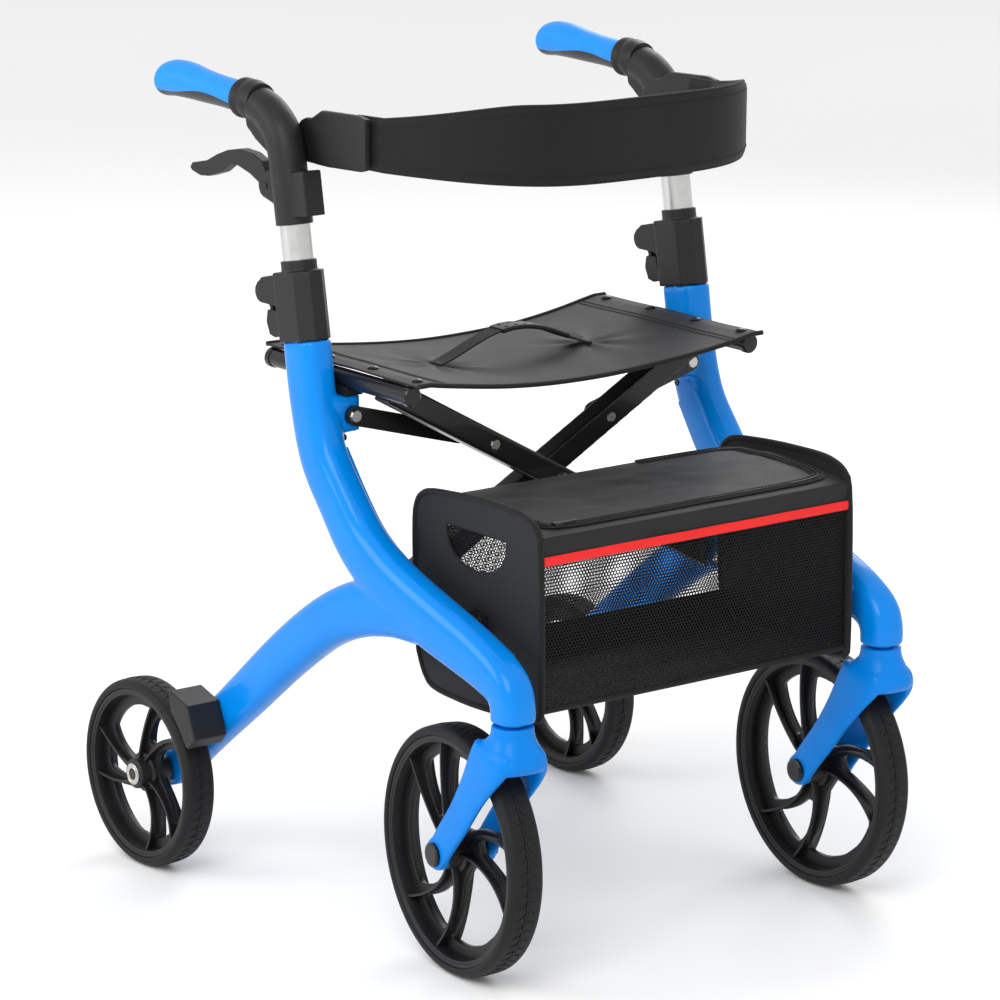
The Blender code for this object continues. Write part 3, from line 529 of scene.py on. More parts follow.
def sideFrame(side):
    boss = lathe([(0.2266, frameSet["bossRadius"]), (0.2614, frameSet["bossRadius"])], "X", rearHub)
    lug = block((0.2090, 0.2900, 0.5130), (0.2400, 0.3180, 0.5505))
    arm = "brace_arm_b" if side == "right" else "brace_arm_a"
    armLow, armHigh = [corner.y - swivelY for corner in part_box(arm)]
    pivot = joints["left_frame_pivot"]["pos_m"]
    ears = []
    for low in (armLow - 0.0055, armHigh + 0.0003):
        outline = [(0.2380, 0.3200), (0.2380, 0.3520),
                   *arc((pivot[0], pivot[2]), frameSet["earRadius"], 90, 270, 14)]
        ears.append(plate(outline, low, low + frameSet["earThick"], "Y"))
    moulding = fuse([sweep(strut), sweep(rearLeg), boss, lug, *ears], frameSet["voxel"], frameSet["rounds"])
    return toRow(moulding, side)


for side in signs:
    makePiece(f"frameMoulding_{side}", sideFrame(side), "paint", f"side_frame_{side}",
              [f"side_frame_{side}"], 60)
print("side frames ready")


# Inner cover, let into the moulding, and the screws along it

coverSet = {"spots": [(0.306, 0.505), (0.252, 0.428), (0.150, 0.366), (0.050, 0.335)], "radius": 0.0036}
coverSection = [(-0.60, 0.0035), (-0.60, -0.0012), (-0.52, -0.0021), (0.52, -0.0021), (0.60, -0.0012),
                (0.60, 0.0035)]
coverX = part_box("frame_cover_left")[0].x


def coverMesh():
    rings = []
    for (x, y, z, thick, deep), slope in flow(strut[2:10], 6):
        lean = Vector((0, -slope[2], slope[1])).normalized()
        rings.append([Vector((x - thick + height, y, z)) + lean * (depth * deep)
                      for depth, height in coverSection])
    return skin(rings)


pair("innerCover", coverMesh(), "paint", "side_frame", ["frame_cover"])
screw = lathe([(0.0012, 0.0026), (-0.0004, coverSet["radius"]), (-0.0014, coverSet["radius"] * 0.8),
               (-0.0008, 0.0014)], "X", segments=20)
screws = onPoints([(coverX, y, z) for y, z in coverSet["spots"]], screw, "blackMetal")
pair("coverScrews", screws, "blackMetal", "side_frame")


# Caster forks

def fork():
    # crown rings: height, half width, half depth, middle, squareness
    flare = [(0.2792, 0.0210, 0.0210, 0.0, 2.0), (0.2740, 0.0211, 0.0211, 0.0, 2.0),
             (0.2680, 0.0220, 0.0222, 0.0, 2.1), (0.2610, 0.0243, 0.0248, 0.0, 2.3),
             (0.2540, 0.0272, 0.0278, -0.0004, 2.5), (0.2470, 0.0297, 0.0300, -0.0008, 2.7),
             (0.2410, 0.0306, 0.0290, -0.0012, 2.8), (0.2350, 0.0290, 0.0250, -0.0012, 2.8)]
    rings = []
    for (z, wide, deep, middle, power), _ in flow(flare, 4):
        ring = []
        for k in range(56):
            a = tau * (k + 0.5) / 56
            ring.append(Vector((wide * signedPower(cos(a), 2 / power),
                                middle + deep * signedPower(sin(a), 2 / power), z)))
        rings.append(ring)
    legs = []
    for way in (-1, 1):
        legs.append(sweep([(way * x, y, z, thick, deep) for x, y, z, thick, deep in (
            (0.0120, -0.0020, 0.2620, 0.0110, 0.0200), (0.0215, 0.0010, 0.2510, 0.0090, 0.0275),
            (0.0262, 0.0115, 0.2345, 0.0060, 0.0258), (0.0270, 0.0305, 0.2075, 0.0052, 0.0205),
            (0.0271, 0.0540, 0.1755, 0.0051, 0.0178), (0.0272, 0.0760, 0.1495, 0.0050, 0.0169),
            (0.0272, 0.0920, 0.1300, 0.0050, 0.0165))], 6, 2.7, 36))
        legs.append(lathe([(way * 0.0223, 0.0160), (way * 0.0232, 0.0165), (way * 0.0306, 0.0165),
                           (way * 0.0320, 0.0150)], "X", frontHub))
    solid = fuse([skin(rings), *legs], 0.0012, 6)
    slotProfile = [(-0.0225, 0.1170), (-0.0205, 0.1265), (-0.0140, 0.1325), (0.0, 0.1350), (0.0140, 0.1325),
                   (0.0205, 0.1265), (0.0225, 0.1170)]
    slot = lathe(slotProfile, "X", frontHub, 96)
    arch = plate([(-0.0225, 0.1000), (0.0225, 0.1000), *[(0.0225 * cos(a), 0.2130 + 0.0222 * sin(a)) for a in
                 (pi * i / 24 for i in range(25))]], -0.0600, 0.0350, "Y")
    solid = carve(solid, [slot, arch])
    ring = lathe([(0.2782, 0.0120), (0.2814, 0.0120)], "Z")
    return shifted(together([solid, ring]), Matrix.Translation((swivelX, 0, 0)))


pair("forkMoulding", fork(), "forkPaint", "caster", ["front_fork"], onCaster=True, angle=40)
print("forks ready")


# Wheels: deep barrel, flat web with large and small windows in turn, and a thin fin along each spoke

wheelSet = {"swirl": 24, "smallGap": 36, "spokeHalf": 0.0060, "finThick": 0.0013, "webHalf": 0.0034}


def looped(outline, rounds=2):
    # cuts the corners again and again until they are round
    points = outline
    for _ in range(rounds):
        cut = []
        for a, b in zip(points, points[1:] + points[:1]):
            cut += [(a[0] * 0.8 + b[0] * 0.2, a[1] * 0.8 + b[1] * 0.2),
                    (a[0] * 0.2 + b[0] * 0.8, a[1] * 0.2 + b[1] * 0.8)]
        points = cut
    return points


def wheelWindow(innerR, outerR, start, end, hubR):
    half, swirl = wheelSet["spokeHalf"], wheelSet["swirl"]
    radii = [innerR + (outerR - innerR) * i / 3 for i in range(4)]
    lean = [swirl * (r - hubR) / (outerR - hubR) for r in radii]
    low = [(r, start + turn + degrees(half / r)) for r, turn in zip(radii, lean)]
    high = [(r, end + turn - degrees(half / r)) for r, turn in zip(radii, lean)]
    bow = [(outerR * 1.01, low[-1][1] + (high[-1][1] - low[-1][1]) * i / 4) for i in range(1, 4)]
    outline = [*low, *bow, *high[::-1]]
    return looped([(r * cos(radians(a)), r * sin(radians(a))) for r, a in outline], 3)


def fin(innerR, outerR, start, deep):
    square = ((-1, -1), (1, -1), (1, 1), (-1, 1))
    rings = []
    for i in range(15):
        t = i / 14
        radius = innerR + (outerR - innerR) * t
        a = radians(start + wheelSet["swirl"] * t)
        bend = radians(wheelSet["swirl"]) * radius / (outerR - innerR)
        along = Vector((0, cos(a) - bend * sin(a), sin(a) + bend * cos(a))).normalized()
        across = Vector((0, -along.z, along.y)) * wheelSet["finThick"]
        reach = deep * (0.72 + 0.28 * (2 * t - 1) ** 2)
        centre = Vector((0, radius * cos(a), radius * sin(a)))
        rings.append([centre + across * u + Vector((x * reach, 0, 0)) for u, x in square])
    return skin(rings)


def wheelMesh(radius, halfWide, hubHalf, firstFin):
    out, inner, windowOut = radius - 0.0112, radius - 0.0182, radius - 0.0300
    half, webHalf = halfWide - 0.0020, wheelSet["webHalf"]
    hubR = 0.030 * radius / 0.127 + 0.002
    rim = lathe([(-half, out - 0.0028), (-half, out), (half, out), (half, out - 0.0028),
                 (half - 0.0012, out - 0.0040), (half - 0.0014, inner + 0.0012), (half - 0.0050, inner),
                 (-half + 0.0050, inner), (-half + 0.0014, inner + 0.0012), (-half + 0.0012, out - 0.0040)],
                segments=128, hollow=True)
    hub = lathe([(-hubHalf, 0.0062), (-hubHalf, 0.0142), (-hubHalf + 0.0015, 0.0160), (-0.0085, 0.0178),
                 (-0.0070, 0.0215), (0.0070, 0.0215), (0.0085, 0.0178), (hubHalf - 0.0015, 0.0160),
                 (hubHalf, 0.0142), (hubHalf, 0.0062)], segments=64, hollow=True)
    disc = lathe([(-webHalf, 0.0150), (-webHalf, inner + 0.0010), (webHalf, inner + 0.0010),
                  (webHalf, 0.0150)], segments=128, hollow=True)
    start = firstFin - wheelSet["swirl"]
    gap = wheelSet["smallGap"]
    windows = []
    for k in range(3):
        turn = start + 120 * k
        windows.append(plate(wheelWindow(hubR * 1.35, windowOut, turn, turn + gap, hubR), -0.03, 0.03))
        windows.append(plate(wheelWindow(hubR, windowOut, turn + gap, turn + 120, hubR), -0.03, 0.03))
    web = fuse([carve(disc, windows)], 0.0011, 4)
    fins = together([fin(0.0155, inner + 0.0006, start + step, half - 0.0035) for step in (0, gap)])
    pad = block((-0.0050, -0.0060, inner - 0.0016), (0.0050, 0.0060, inner + 0.0010))
    return together([rim, hub, web, around(fins, 3, "wheel"), around(pad, 3, "wheel")])


def tyreMesh(radius, halfWide):
    # carcass with two rows of slanted tread blocks and a middle rib
    low = radius - 0.0110
    side = []
    for i in range(9):
        a = radians(80 * i / 8)
        side.append((halfWide - 0.0074 + 0.0074 * cos(a), radius - 0.0080 + 0.0072 * sin(a)))
    half = [(halfWide - 0.0022, low), (halfWide - 0.0006, low + 0.0010), *side]
    profile = half[::-1] + [(-x, r) for x, r in half]
    carcass = lathe(profile[::-1], segments=144, hollow=True)
    blocks = []
    for direction in (-1, 1):
        outline = [(0.0018, 0.0), (0.0085, 0.0030), (0.0125, 0.0008), (0.0125, 0.0072), (0.0085, 0.0102),
                   (0.0018, 0.0068)]
        rings = []
        for sink in (0.0045, 0.0):
            ring = []
            for x, travel in outline:
                crown = radius - 0.0001 - 0.0011 * (x / 0.0125) ** 3 - sink
                a = (travel + (0.0058 if direction > 0 else 0.0)) / radius
                ring.append(Vector((direction * x, crown * cos(a), crown * sin(a))))
            rings.append(ring)
        blocks.append(skin(rings))
    rib = lathe([(-0.0011, radius - 0.004), (-0.0011, radius), (0.0011, radius), (0.0011, radius - 0.004)],
                segments=144, hollow=True)
    count = int(tau * radius / 0.0118)
    return together([carcass, rib, around(together(blocks), count, "tyre")])


atFront = Matrix.Translation((swivelX, *frontHub))
atRear = Matrix.Translation((rearX, *rearHub))
pair("frontWheel", shifted(wheelMesh(0.127, 0.019, 0.0215, 44), atFront), "wheel", "front_wheel",
     ["front_wheel"], onCaster=True)
pair("frontTread", shifted(tyreMesh(0.127, 0.019), atFront), "tyre", "front_wheel", ["front_tyre"],
     onCaster=True)
pair("rearWheel", shifted(wheelMesh(0.1015, 0.018, 0.0200, -13), atRear), "wheel", "rear_wheel",
     ["rear_wheel"])
pair("rearTread", shifted(tyreMesh(0.1015, 0.018), atRear), "tyre", "rear_wheel", ["rear_tyre"])
bearing = lathe([(0.0150, 0.0062), (0.0150, 0.0115), (0.0214, 0.0115), (0.0217, 0.0108), (0.0212, 0.0100),
                 (0.0212, 0.0078), (0.0217, 0.0072), (0.0217, 0.0062)], hollow=True)
pair("hubBearing", shifted(bearing, atRear), "steel", "rear_wheel", ["rear_bearing"])
print("wheels ready")


# Moulded parts whose CAD shape is right: softened edges

moulded = [
    ("clamp_body", "side_frame", 0.0010, 4), ("clamp_lever", "clamp_lever", 0.0007, 5),
    ("brake_housing", "side_frame", 0.0010, 3), ("brake_lever", "brake_lever", 0.0008, 9),
    ("backrest_bracket", "backrest", 0.0009, 4),
]
for stem, body, voxel, rounds in moulded:
    for side in signs:
        makePiece(f"{stem}Moulding_{side}", fuse([cadCopy(f"{stem}_{side}")], voxel, rounds), "plastic",
                  f"{body}_{side}", [f"{stem}_{side}"], 50)
for arm in ("brace_arm_a", "brace_arm_b"):
    makePiece(f"{arm}Tube", fuse([cadCopy(arm)], 0.0016, 3), "blackMetal", arm, [arm], 50)


# Handle: head, tube and grip

def handleHead():
    path = [(tubeX, 0.3489, 0.7193, 0.0183, 0.0190), (tubeX, 0.3549, 0.7533, 0.0185, 0.0190),
            (tubeX, 0.3628, 0.7920, 0.0187, 0.0192), (tubeX, 0.3715, 0.8110, 0.0187, 0.0192),
            (tubeX, 0.3900, 0.8260, 0.0182, 0.0188), (tubeX, 0.4100, 0.8335, 0.0180, 0.0182)]
    latch = onTube(block((-0.0115, -0.0390, 0.0880), (0.0115, -0.0120, 0.1330)))
    pivot = (0.3840, 0.7545)
    ear = plate([(0.3600, 0.7350), (0.3740, 0.7390), *arc(pivot, 0.0125, -70, 70, 16), (0.3780, 0.7720),
                 (0.3600, 0.7750)], tubeX - 0.0110, tubeX + 0.0110)
    gusset = plate([(0.3600, 0.7850), (0.3830, 0.7900), (0.4000, 0.7985), (0.4170, 0.8110), (0.4200, 0.8250),
                    (0.3800, 0.8250)], tubeX - 0.0110, tubeX + 0.0110)
    solid = fuse([sweep(path, 8, 2.1, 48), latch, ear, gusset], 0.0011, 4)
    solid = carve(solid, [block((tubeX - 0.0069, 0.3743, 0.7300), (tubeX + 0.0069, 0.4100, 0.7895))])
    collar = lathe([(0.4060, 0.0178), (0.4120, 0.0190), (0.4170, 0.0203), (0.4215, 0.0203), (0.4250, 0.0188),
                    (0.4275, 0.0188), (0.4300, 0.0206), (0.4345, 0.0206), (0.4360, 0.0190)], "Y",
                   (tubeX, 0.8365))
    pin = lathe([(tubeX - 0.0120, 0.0030), (tubeX + 0.0120, 0.0030)], "X", pivot, 20)
    return together([solid, collar, pin])


pair("handleMoulding", handleHead(), "plastic", "handle", ["handle_head"], angle=45)
tubeProfile = [(-0.1015, 0.0125), (-0.1015, 0.0150), (-0.1005, 0.0155), (0.1370, 0.0155), (0.1370, 0.0125)]
pair("heightTube", onTube(lathe(tubeProfile, "Z", hollow=True)), "aluminium", "handle",
     ["handle_tube"])


gripStations = [
    (0.4364, 0.8365, 0.0160, 0.0150), (0.4450, 0.8370, 0.0168, 0.0156), (0.4700, 0.8382, 0.0164, 0.0156),
    (0.5000, 0.8400, 0.0166, 0.0168), (0.5300, 0.8425, 0.0180, 0.0186), (0.5520, 0.8425, 0.0188, 0.0188),
    (0.5640, 0.8408, 0.0189, 0.0182), (0.5700, 0.8396, 0.0180, 0.0168), (0.5740, 0.8385, 0.0150, 0.0136),
]


def gripMesh():
    # rings of y, z, half width and half height
    rings = []
    for (y, z, wide, high), _ in flow(gripStations, 7):
        toe = 0.0138 * (y - 0.4364)
        rings.append([Vector((tubeX + toe + wide * cos(tau * i / 48), y, z + high * sin(tau * i / 48)))
                      for i in range(48)])
    return skin(rings)


pair("gripRubber", gripMesh(), "grip", "handle", ["grip"])
print("handles ready")


# Seat rails

railLeft = joints["rail_left_pivot"]["pos_m"]
rail = lathe([(0.1880, 0.0030), (0.1885, 0.0090), (0.1900, 0.0105), (0.1960, 0.0105), (0.1965, 0.0095),
              (0.4235, 0.0095), (0.4240, 0.0105), (0.4300, 0.0105), (0.4315, 0.0090), (0.4320, 0.0030)], "Y",
             (railLeft[0], railLeft[2]), 40)
pair("railTube", rail, "blackMetal", "rail", ["seat_rail"])


# Soft goods

seatRide = {"anchorX": -0.2189, "keep": 0.317}


def softRide(obj, anchorX, keep):
    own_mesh(obj)


def sheetMesh(columns, rows, point, thick):
    # closed thin sheet over a grid of points, with its underside a thickness below
    bm = bmesh.new()
    grid = [[bm.verts.new(point(i / columns, j / rows)) for j in range(rows + 1)] for i in range(columns + 1)]
    for i in range(columns):
        for j in range(rows):
            bm.faces.new((grid[i][j], grid[i + 1][j], grid[i + 1][j + 1], grid[i][j + 1]))
    obj = holder(bm)
    wall = obj.modifiers.new("wall", "SOLIDIFY")
    wall.thickness = thick
    wall.offset = -1
    return baked(obj)


seatSet = {"half": 0.2225, "front": 0.1700, "back": 0.4400, "sag": 0.0200, "thick": 0.0022, "level": 0.5812,
           "slits": [(-0.105, 0.305), (0.093, 0.305)]}


def seatHeight(x, y):
    z = seatSet["level"] - seatSet["sag"] * (1 - min(abs(x) / 0.2080, 1.0) ** 2)
    for slitX, slitY in seatSet["slits"]:
        dx, dy = x - slitX, y - slitY
        reach = sqrt(dx * dx + dy * dy)
        z += 0.0016 * sin(7 * atan2(dy, dx)) * min(reach / 0.02, 1) * 2.7 ** (-(reach / 0.055) ** 2)
    z += 0.0014 * noise.noise(Vector((x * 9, y * 16, 0.3)))
    return z - 0.0008


def seatPoint(u, v):
    x = seatSet["half"] * (2 * u - 1)
    corner = max(abs(2 * u - 1) - 0.86, 0) / 0.14
    bow = 0.010 * (1 - (2 * u - 1) ** 2)
    y = seatSet["front"] + bow * (1 - v) + (seatSet["back"] - bow - seatSet["front"]) * v
    y += (0.5 - v) * 0.006 * corner
    return Vector((x, y, seatHeight(x, y)))


seat = centrePiece("seatSling", sheetMesh(150, 90, seatPoint, seatSet["thick"]), "nylon", "rail_right",
                   ["seat_sling"], 70)
hems = []
for v in (0.008, 0.992):
    hems.append(tube([seatPoint(i / 60, v) + Vector((0, 0, -0.0004)) for i in range(61)], 0.0026, 10))
hem = centrePiece("seatHems", together(hems), "binding", "rail_right")
seams = []
for u in (0.075, 0.090, 0.910, 0.925):
    seams.append([seatPoint(u, 0.03 + 0.94 * i / 40) + Vector((0, 0, 0.0002)) for i in range(41)])
seatStitch = centrePiece("seatStitches", stitched(seams, 0.0042, 0.0030, 0.0004, "thread"), "thread",
                         "rail_right")
rivet = lathe([(-0.0010, 0.0058), (0.0006, 0.0058), (0.0016, 0.0048), (0.0023, 0.0030),
               (0.0025, 0.0004)], "Z", segments=20)
spots = []
for u in (0.028, 0.972):
    spots += [seatPoint(u, v) + Vector((0, 0, 0.0004)) for v in (0.08, 0.36, 0.64, 0.92)]
rivets = centrePiece("seatRivets", onPoints(spots, rivet, "blackMetal"), "blackMetal", "rail_right")
for piece in (seat, hem, seatStitch, rivets):
    softRide(piece, **seatRide)


# Pull strap: webbing through the slits, with a moulded grip over its middle

def strapPoint(t, lift=0.0):
    x = -0.105 + 0.198 * t
    return Vector((x, 0.305, seatHeight(x, 0.305) + 0.0014 + lift + 0.0325 * max(sin(pi * t), 0) ** 1.3))


def band(points, wide, thick):
    section = ((-1, -0.5), (-0.94, -1), (0.94, -1), (1, -0.5), (1, 0.5), (0.94, 1), (-0.94, 1), (-1, 0.5))
    rings = []
    for i, point in enumerate(points):
        along = (points[min(i + 1, len(points) - 1)] - points[max(i - 1, 0)]).normalized()
        out = Vector((0, 0, 1)).cross(along).normalized()
        up = along.cross(out) * thick / 2
        rings.append([point + out * (y * wide / 2) + up * z for y, z in section])
    return skin(rings)


webbing = band([strapPoint(i / 60) for i in range(61)], 0.0200, 0.0018)
mouldedGrip = band([strapPoint(0.40 + 0.44 * i / 40) for i in range(41)], 0.0240, 0.0046)
holes = []
for k in range(7):
    centre = strapPoint(0.44 + 0.36 * k / 6)
    for offset in (-0.0065, 0.0065):
        holes.append(lathe([(centre.z - 0.02, 0.0021), (centre.z + 0.02, 0.0021)], "Z",
                           (centre.x, centre.y + offset), 12))
strapGrip = centrePiece("strapGrip", carve(mouldedGrip, holes), "plastic", "rail_right")
strapWeb = centrePiece("strapWebbing", webbing, "web", "rail_right", ["pull_strap"])
for piece in (strapGrip, strapWeb):
    softRide(piece, **seatRide)
print("seat ready")


# Backrest: padded strap with a piped edge above and below

backSet = {"depth": 0.1848, "front": 0.0937, "thick": 0.0044, "piping": 0.0021, "bend": 0.80,
           "bendEnd": 0.212, "bendWide": 0.222, "bendPower": 4.22}


def backRow(s):
    # plan point and height limits at s from -1 to 1, the bend's ends running straight back
    bend, end, wide = backSet["bend"], backSet["bendEnd"], backSet["bendWide"]
    if abs(s) < bend:
        x = end * sin(s / bend * pi / 2)
        y = backSet["front"] + backSet["depth"] * (abs(x) / wide) ** backSet["bendPower"]
    else:
        t = (abs(s) - bend) / (1 - bend)
        x = (end + 0.0028 * t) * (1 if s > 0 else -1)
        y = backSet["front"] + backSet["depth"] * (end / wide) ** backSet["bendPower"] + 0.039 * t
    reach = min(abs(x) / wide, 1.0)
    mix = min(max((reach - 0.598) / 0.693, 0.0), 1.0)
    return x, y, 0.7786 + 0.0053 * reach ** 2, 0.8567 - 0.0428 * mix ** 2 * (3 - 2 * mix)


def backMesh():
    rings = []
    steps = 180
    rows = [backRow(2 * i / steps - 1) for i in range(steps + 1)]
    for i, (x, y, low, high) in enumerate(rows):
        before, after = rows[max(i - 1, 0)], rows[min(i + 1, steps)]
        along = Vector((after[0] - before[0], after[1] - before[1], 0)).normalized()
        out = Vector((along.y, -along.x, 0))
        ring = []
        for k in range(32):
            a = tau * k / 32
            tall, puff = signedPower(sin(a), 0.25), signedPower(cos(a), 0.7)
            ripple = 1 + 0.10 * noise.noise(Vector((x * 14, y * 14, tall * 1.2)))
            middle = Vector((x, y, (low + high) / 2 + tall * (high - low) / 2))
            ring.append(middle + out * puff * backSet["thick"] * ripple)
        rings.append(ring)
    return skin(rings)


back = centrePiece("backrestPad", backMesh(), "pad", "backrest_right", ["backrest_strap"], 60)
edges = []
seamPaths = []
for level in (0, 1):
    rows = [backRow(2 * i / 120 - 1) for i in range(121)]
    edges.append(tube([(x, y, (low, high)[level]) for x, y, low, high in rows], backSet["piping"], 10))
    seamIn = (0.0075, -0.0075)[level]
    for offset in (-0.0046, 0.0046):
        path = []
        for i, (x, y, low, high) in enumerate(rows):
            before, after = rows[max(i - 1, 0)], rows[min(i + 1, 120)]
            along = Vector((after[0] - before[0], after[1] - before[1], 0)).normalized()
            outward = Vector((along.y, -along.x, 0)) * offset * 0.93
            path.append(Vector((x, y, (low, high)[level] + seamIn)) + outward)
        seamPaths.append(path)
piping = centrePiece("backrestPiping", together(edges), "binding", "backrest_right")
backStitch = centrePiece("backrestStitches", stitched(seamPaths, 0.0046, 0.0032, 0.0004, "thread"),
                         "thread", "backrest_right")
for piece in (back, piping, backStitch):
    softRide(piece, -0.2145, 0.347)
print("backrest ready")


# Bag

bagSet = {"half": 0.1962, "stripe": 0.4340, "cell": 0.0038, "lidFront": 0.0095, "lidBack": 0.2070}
panelOutline = [(0.0061, 0.2791), (0.0110, 0.2730), (0.1099, 0.2655), (0.1825, 0.2690), (0.1960, 0.2830),
                (0.2076, 0.3110), (0.2118, 0.4400), (0.2060, 0.4600), (0.1900, 0.4700), (0.1200, 0.4755),
                (0.0476, 0.4765), (0.0220, 0.4700), (0.0082, 0.4552)]
holeOutline = [(0.1100 + 0.0485 * cos(pi * i / 20), 0.4395 - 0.0368 * sin(pi * i / 20) ** 0.8)
               for i in range(21)]
holeOutline += [(0.0635, 0.4440), (0.1575, 0.4440)]
rounded = looped(panelOutline)
panel = carve(plate(rounded, 0.1977, 0.2008), [plate(holeOutline, 0.19, 0.21)])
pair("bagPanel", panel, "nylon", "side_frame", ["bag_panel"])
bound = together([tube([(0.1993, y, z) for y, z in rounded], 0.0036, 12, True),
                  tube([(0.1993, y, z) for y, z in looped(holeOutline, 1)], 0.0016, 8, True)])
pair("bagBinding", bound, "binding", "side_frame")


def netMesh(across, up, point, cell, thick):
    # hexagonal net over an area, with a real hole in each cell
    bm = bmesh.new()
    size = cell / sqrt(3)
    corners = [(cos(radians(30 + 60 * k)), sin(radians(30 + 60 * k))) for k in range(6)]
    for j in range(int(up / (size * 1.5))):
        for i in range(int(across / cell)):
            cx = cell * (i + 0.5 + 0.5 * (j % 2))
            cz = size * (1 + 1.5 * j)
            outer, inner = [
                [bm.verts.new(point(cx + size * part * c, cz + size * part * d)) for c, d in corners]
                for part in (1, 0.74)]
            for k in range(6):
                bm.faces.new((outer[k], outer[(k + 1) % 6], inner[(k + 1) % 6], inner[k]))
    bmesh.ops.remove_doubles(bm, verts=bm.verts, dist=cell * 0.02)
    obj = holder(bm)
    wall = obj.modifiers.new("wall", "SOLIDIFY")
    wall.thickness = thick
    return baked(obj)


def frontPoint(across, up):
    x = across - bagSet["half"]
    z = 0.2815 + up
    belly = 0.0022 * sin(pi * min(max(up / 0.152, 0), 1)) * (1 - (x / bagSet["half"]) ** 4)
    return Vector((x, 0.0098 - belly + 0.0006 * noise.noise(Vector((x * 18, z * 22, 0))), z))


net = netMesh(2 * bagSet["half"], 0.154, frontPoint, bagSet["cell"], 0.0004)
rearNet = netMesh(2 * bagSet["half"], 0.154,
                  lambda across, up: Vector((across - bagSet["half"], 0.2030 + 0.017 * up, 0.3015 + up)),
                  bagSet["cell"], 0.0004)
bagRear = centrePiece("bagRearMesh", rearNet, "mesh", "side_frame_right")
bagFront = centrePiece("bagFrontMesh", net, "mesh", "side_frame_right")
handNet = netMesh(0.108, 0.050, lambda across, up: Vector((0.1972, 0.056 + across, 0.399 + up)),
                  0.0030, 0.0003)
pair("bagHandMesh", handNet, "mesh", "side_frame")


def shellPoint(u, v):
    # bottom and lower rear wall as one sheet, up to where the rear net starts
    x = bagSet["half"] * (2 * u - 1)
    route = [(0.0100, 0.2830), (0.1100, 0.2700), (0.1790, 0.2735), (0.1930, 0.2870), (0.2025, 0.3030)]
    place = v * (len(route) - 1)
    k = min(int(place), len(route) - 2)
    y = route[k][0] + (route[k + 1][0] - route[k][0]) * (place - k)
    z = route[k][1] + (route[k + 1][1] - route[k][1]) * (place - k)
    crease = 0.0012 * noise.noise(Vector((x * 12, y * 20, z * 20)))
    return Vector((x, y - abs(crease), z + crease))


shell = centrePiece("bagShell", sheetMesh(90, 60, shellPoint, 0.0012), "nylon", "side_frame_right",
                    ["bag_body"], 60)


def topBand(u, v):
    x = bagSet["half"] * (2 * u - 1)
    z = bagSet["stripe"] + v * 0.0215
    crease = 0.0030 * sin(pi * v) * noise.noise(Vector((x * 26 + z * 30, 1.7, z * 20)))
    return Vector((x, 0.0090 + crease, z))


topEdge = centrePiece("bagTopBand", sheetMesh(90, 8, topBand, 0.0010), "nylon", "side_frame_right")
stripeAngles = [tau * (k + 0.5) / 16 for k in range(16)]
stripeRings = []
for i in range(121):
    x = bagSet["half"] * (2 * i / 120 - 1)
    lean = 0.0006 * noise.noise(Vector((x * 20, 0.4, 0)))
    middleY, middleZ = 0.0079 + lean, bagSet["stripe"] - 0.0012
    stripeRings.append([Vector((x, middleY + 0.0010 * cos(a), middleZ + 0.0048 * sin(a)))
                        for a in stripeAngles])
stripe = centrePiece("bagRedPiping", skin(stripeRings), "red", "side_frame_right")
footPath = [(bagSet["half"] * (2 * i / 80 - 1), 0.0092, 0.2820) for i in range(81)]
foot = centrePiece("bagFootBinding", tube(footPath, 0.0026, 10), "binding", "side_frame_right")


def lidPoint(u, v):
    x = (bagSet["half"] - 0.001) * (2 * u - 1)
    y = bagSet["lidFront"] + (bagSet["lidBack"] - bagSet["lidFront"]) * v
    rise = 0.4560 + 0.0105 * sin(pi * v) ** 0.7 - 0.0045 * (1 - (2 * u - 1) ** 2) * sin(pi * v)
    wrinkle = (0.0022 * noise.noise(Vector((x * 11, y * 24, 4.1)))
               + 0.0010 * noise.noise(Vector((x * 30, y * 40, 0))))
    return Vector((x, y, rise + wrinkle * sin(pi * v)))


lid = centrePiece("bagLid", sheetMesh(140, 70, lidPoint, 0.0012), "nylon", "bag_lid", ["bag_lid"],
                  70)
zipCorners = looped([(0.030, 0.93), (0.030, 0.50), (0.030, 0.16), (0.060, 0.085), (0.35, 0.085),
                     (0.65, 0.085), (0.940, 0.085), (0.970, 0.16), (0.970, 0.50), (0.970, 0.93)], 2)[1:-3]
zipPath = []
for a, b in zip(zipCorners, zipCorners[1:]):
    zipPath += [lidPoint(a[0] + (b[0] - a[0]) * i / 9, a[1] + (b[1] - a[1]) * i / 9) for i in range(9)]
zipPath = [point + Vector((0, 0, 0.0006)) for point in zipPath]
cords = []
for offset in (-0.0048, 0.0048):
    line = []
    for i, point in enumerate(zipPath):
        along = (zipPath[min(i + 1, len(zipPath) - 1)] - zipPath[max(i - 1, 0)]).normalized()
        line.append(point + Vector((0, 0, 1)).cross(along).normalized() * offset + Vector((0, 0, 0.0005)))
    cords.append(tube(line, 0.0012, 8))
tooth = block((-0.0011, -0.0011, -0.0004), (0.0011, 0.0011, 0.0010))
zipTape = centrePiece("zipTape", together([band(zipPath, 0.0150, 0.0009), *cords]), "web", "bag_lid")
zipTeeth = centrePiece("zipTeeth",
                       onPoints([p + Vector((0, 0, 0.0005)) for p in zipPath], tooth, "plastic"), "plastic",
                       "bag_lid")
pull = lidPoint(0.075, 0.085)
slider = fuse([block(*[(pull.x + x, pull.y + y, pull.z + z) for x, y, z in corners]) for corners in (
    ((-0.0050, -0.0035, 0.001), (0.0050, 0.0035, 0.005)),
    ((0.0030, -0.0020, 0.003), (0.0240, 0.0020, 0.0048)))], 0.0005, 3)
zipPull = centrePiece("zipPull", slider, "blackMetal", "bag_lid")
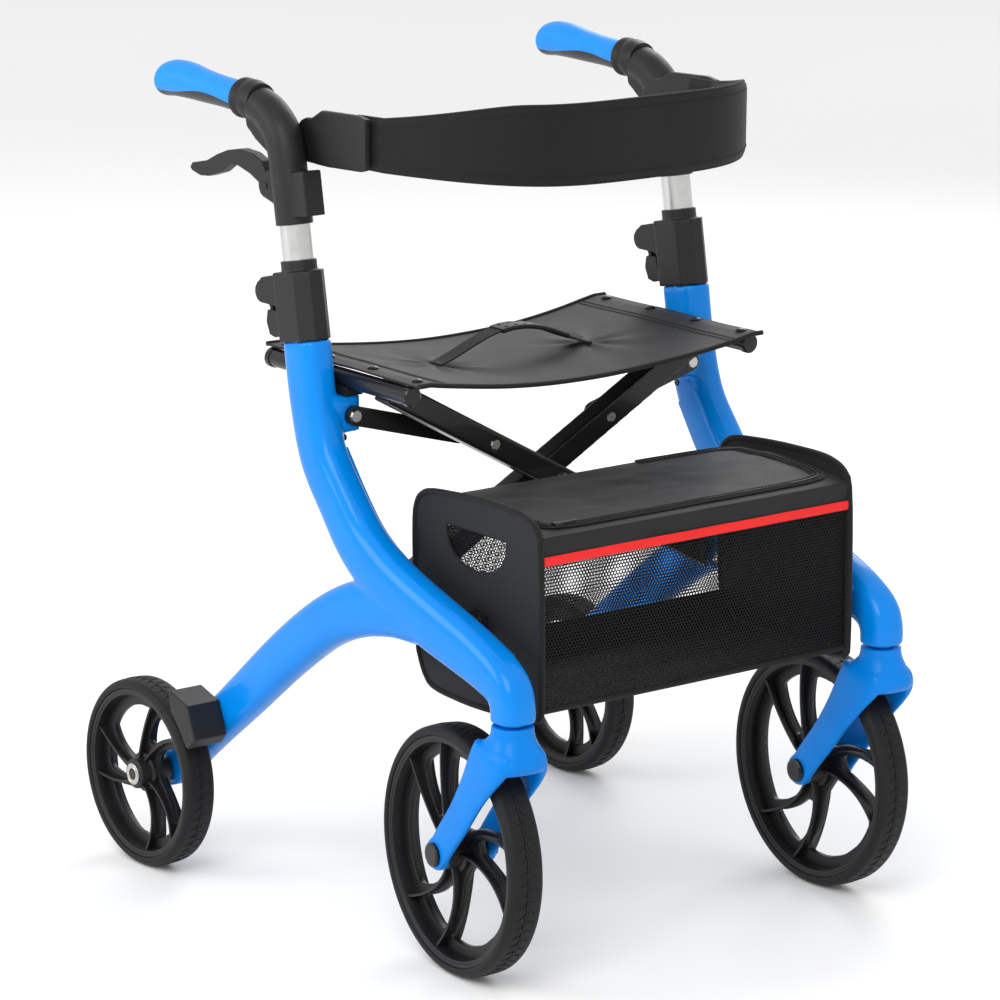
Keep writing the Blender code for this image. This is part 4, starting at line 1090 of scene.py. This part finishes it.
for piece in (lid, zipTape, zipTeeth, zipPull, shell, topEdge, stripe, foot, bagFront, bagRear):
    softRide(piece, -0.1975, 0.29)


# Clip on each side that hooks the panel to the frame

clip = fuse([block((0.2006, 0.0900, 0.3380), (0.2060, 0.1180, 0.3620)),
             block((0.2050, 0.0940, 0.3520), (0.2200, 0.1140, 0.3590)),
             block((0.2130, 0.0940, 0.3420), (0.2180, 0.1140, 0.3560)),
             block((0.2006, 0.0960, 0.3560), (0.2090, 0.1010, 0.3650)),
             block((0.2006, 0.1070, 0.3560), (0.2090, 0.1120, 0.3650))], 0.0006, 3)
pair("bagClip", clip, "plastic", "side_frame")
print("bag ready")


# Stage, light and camera

def lamp(name, place, aim, size, power):
    data = bpy.data.lights.new(name, "AREA")
    data.size = size
    data.energy = power
    obj = bpy.data.objects.new(name, data)
    obj.location = place
    obj.rotation_euler = (Vector(aim) - Vector(place)).to_track_quat("-Z", "Y").to_euler()
    bpy.context.scene.collection.objects.link(obj)


floor = holder(block((-60, -60, -0.02), (60, 60, -0.0002)), "studioFloor")
floorLook = surface("paleFloor", (0.90, 0.90, 0.90), 0.85, grain=(30, 0.01), mottle=(0.2, 0.02), shine=0.1)
floor.data.materials.append(floorLook)
world = bpy.data.worlds.new("studio")
world.use_nodes = True
world.node_tree.nodes["Background"].inputs["Color"].default_value = (1, 1, 1, 1)
world.node_tree.nodes["Background"].inputs["Strength"].default_value = 0.95
bpy.context.scene.world = world
lamp("keyLight", (-2.6, -2.0, 2.8), (0, 0, 0.4), 2.2, 70)
lamp("sideLight", (-3.0, 1.4, 1.6), (0, 0, 0.5), 1.6, 32)
lamp("rimLight", (2.6, 1.8, 2.4), (0, 0, 0.5), 1.8, 42)

cameraSet = {"place": (-2.8554, -3.3543 + swivelY, 1.5416), "azimuth": -37.769, "elevation": 13.723,
             "roll": 0.289, "lens": 165.29}
az, el, roll = (radians(cameraSet[key]) for key in ("azimuth", "elevation", "roll"))
backward = Vector((sin(az) * cos(el), -cos(az) * cos(el), sin(el)))
across = Vector((cos(az), sin(az), 0))
upward = backward.cross(across)
turnedAcross = across * cos(roll) + upward * sin(roll)
turnedUp = -across * sin(roll) + upward * cos(roll)
camera = bpy.data.objects.new("camera", bpy.data.cameras.new("camera"))
camera.data.lens = cameraSet["lens"]
camera.data.sensor_width = 36
bpy.context.scene.collection.objects.link(camera)
camera.matrix_world = Matrix.Translation(cameraSet["place"]) @ Matrix(
    (turnedAcross, turnedUp, backward)).transposed().to_4x4()
bpy.context.scene.camera = camera
bpy.context.scene.view_settings.view_transform = "Standard"
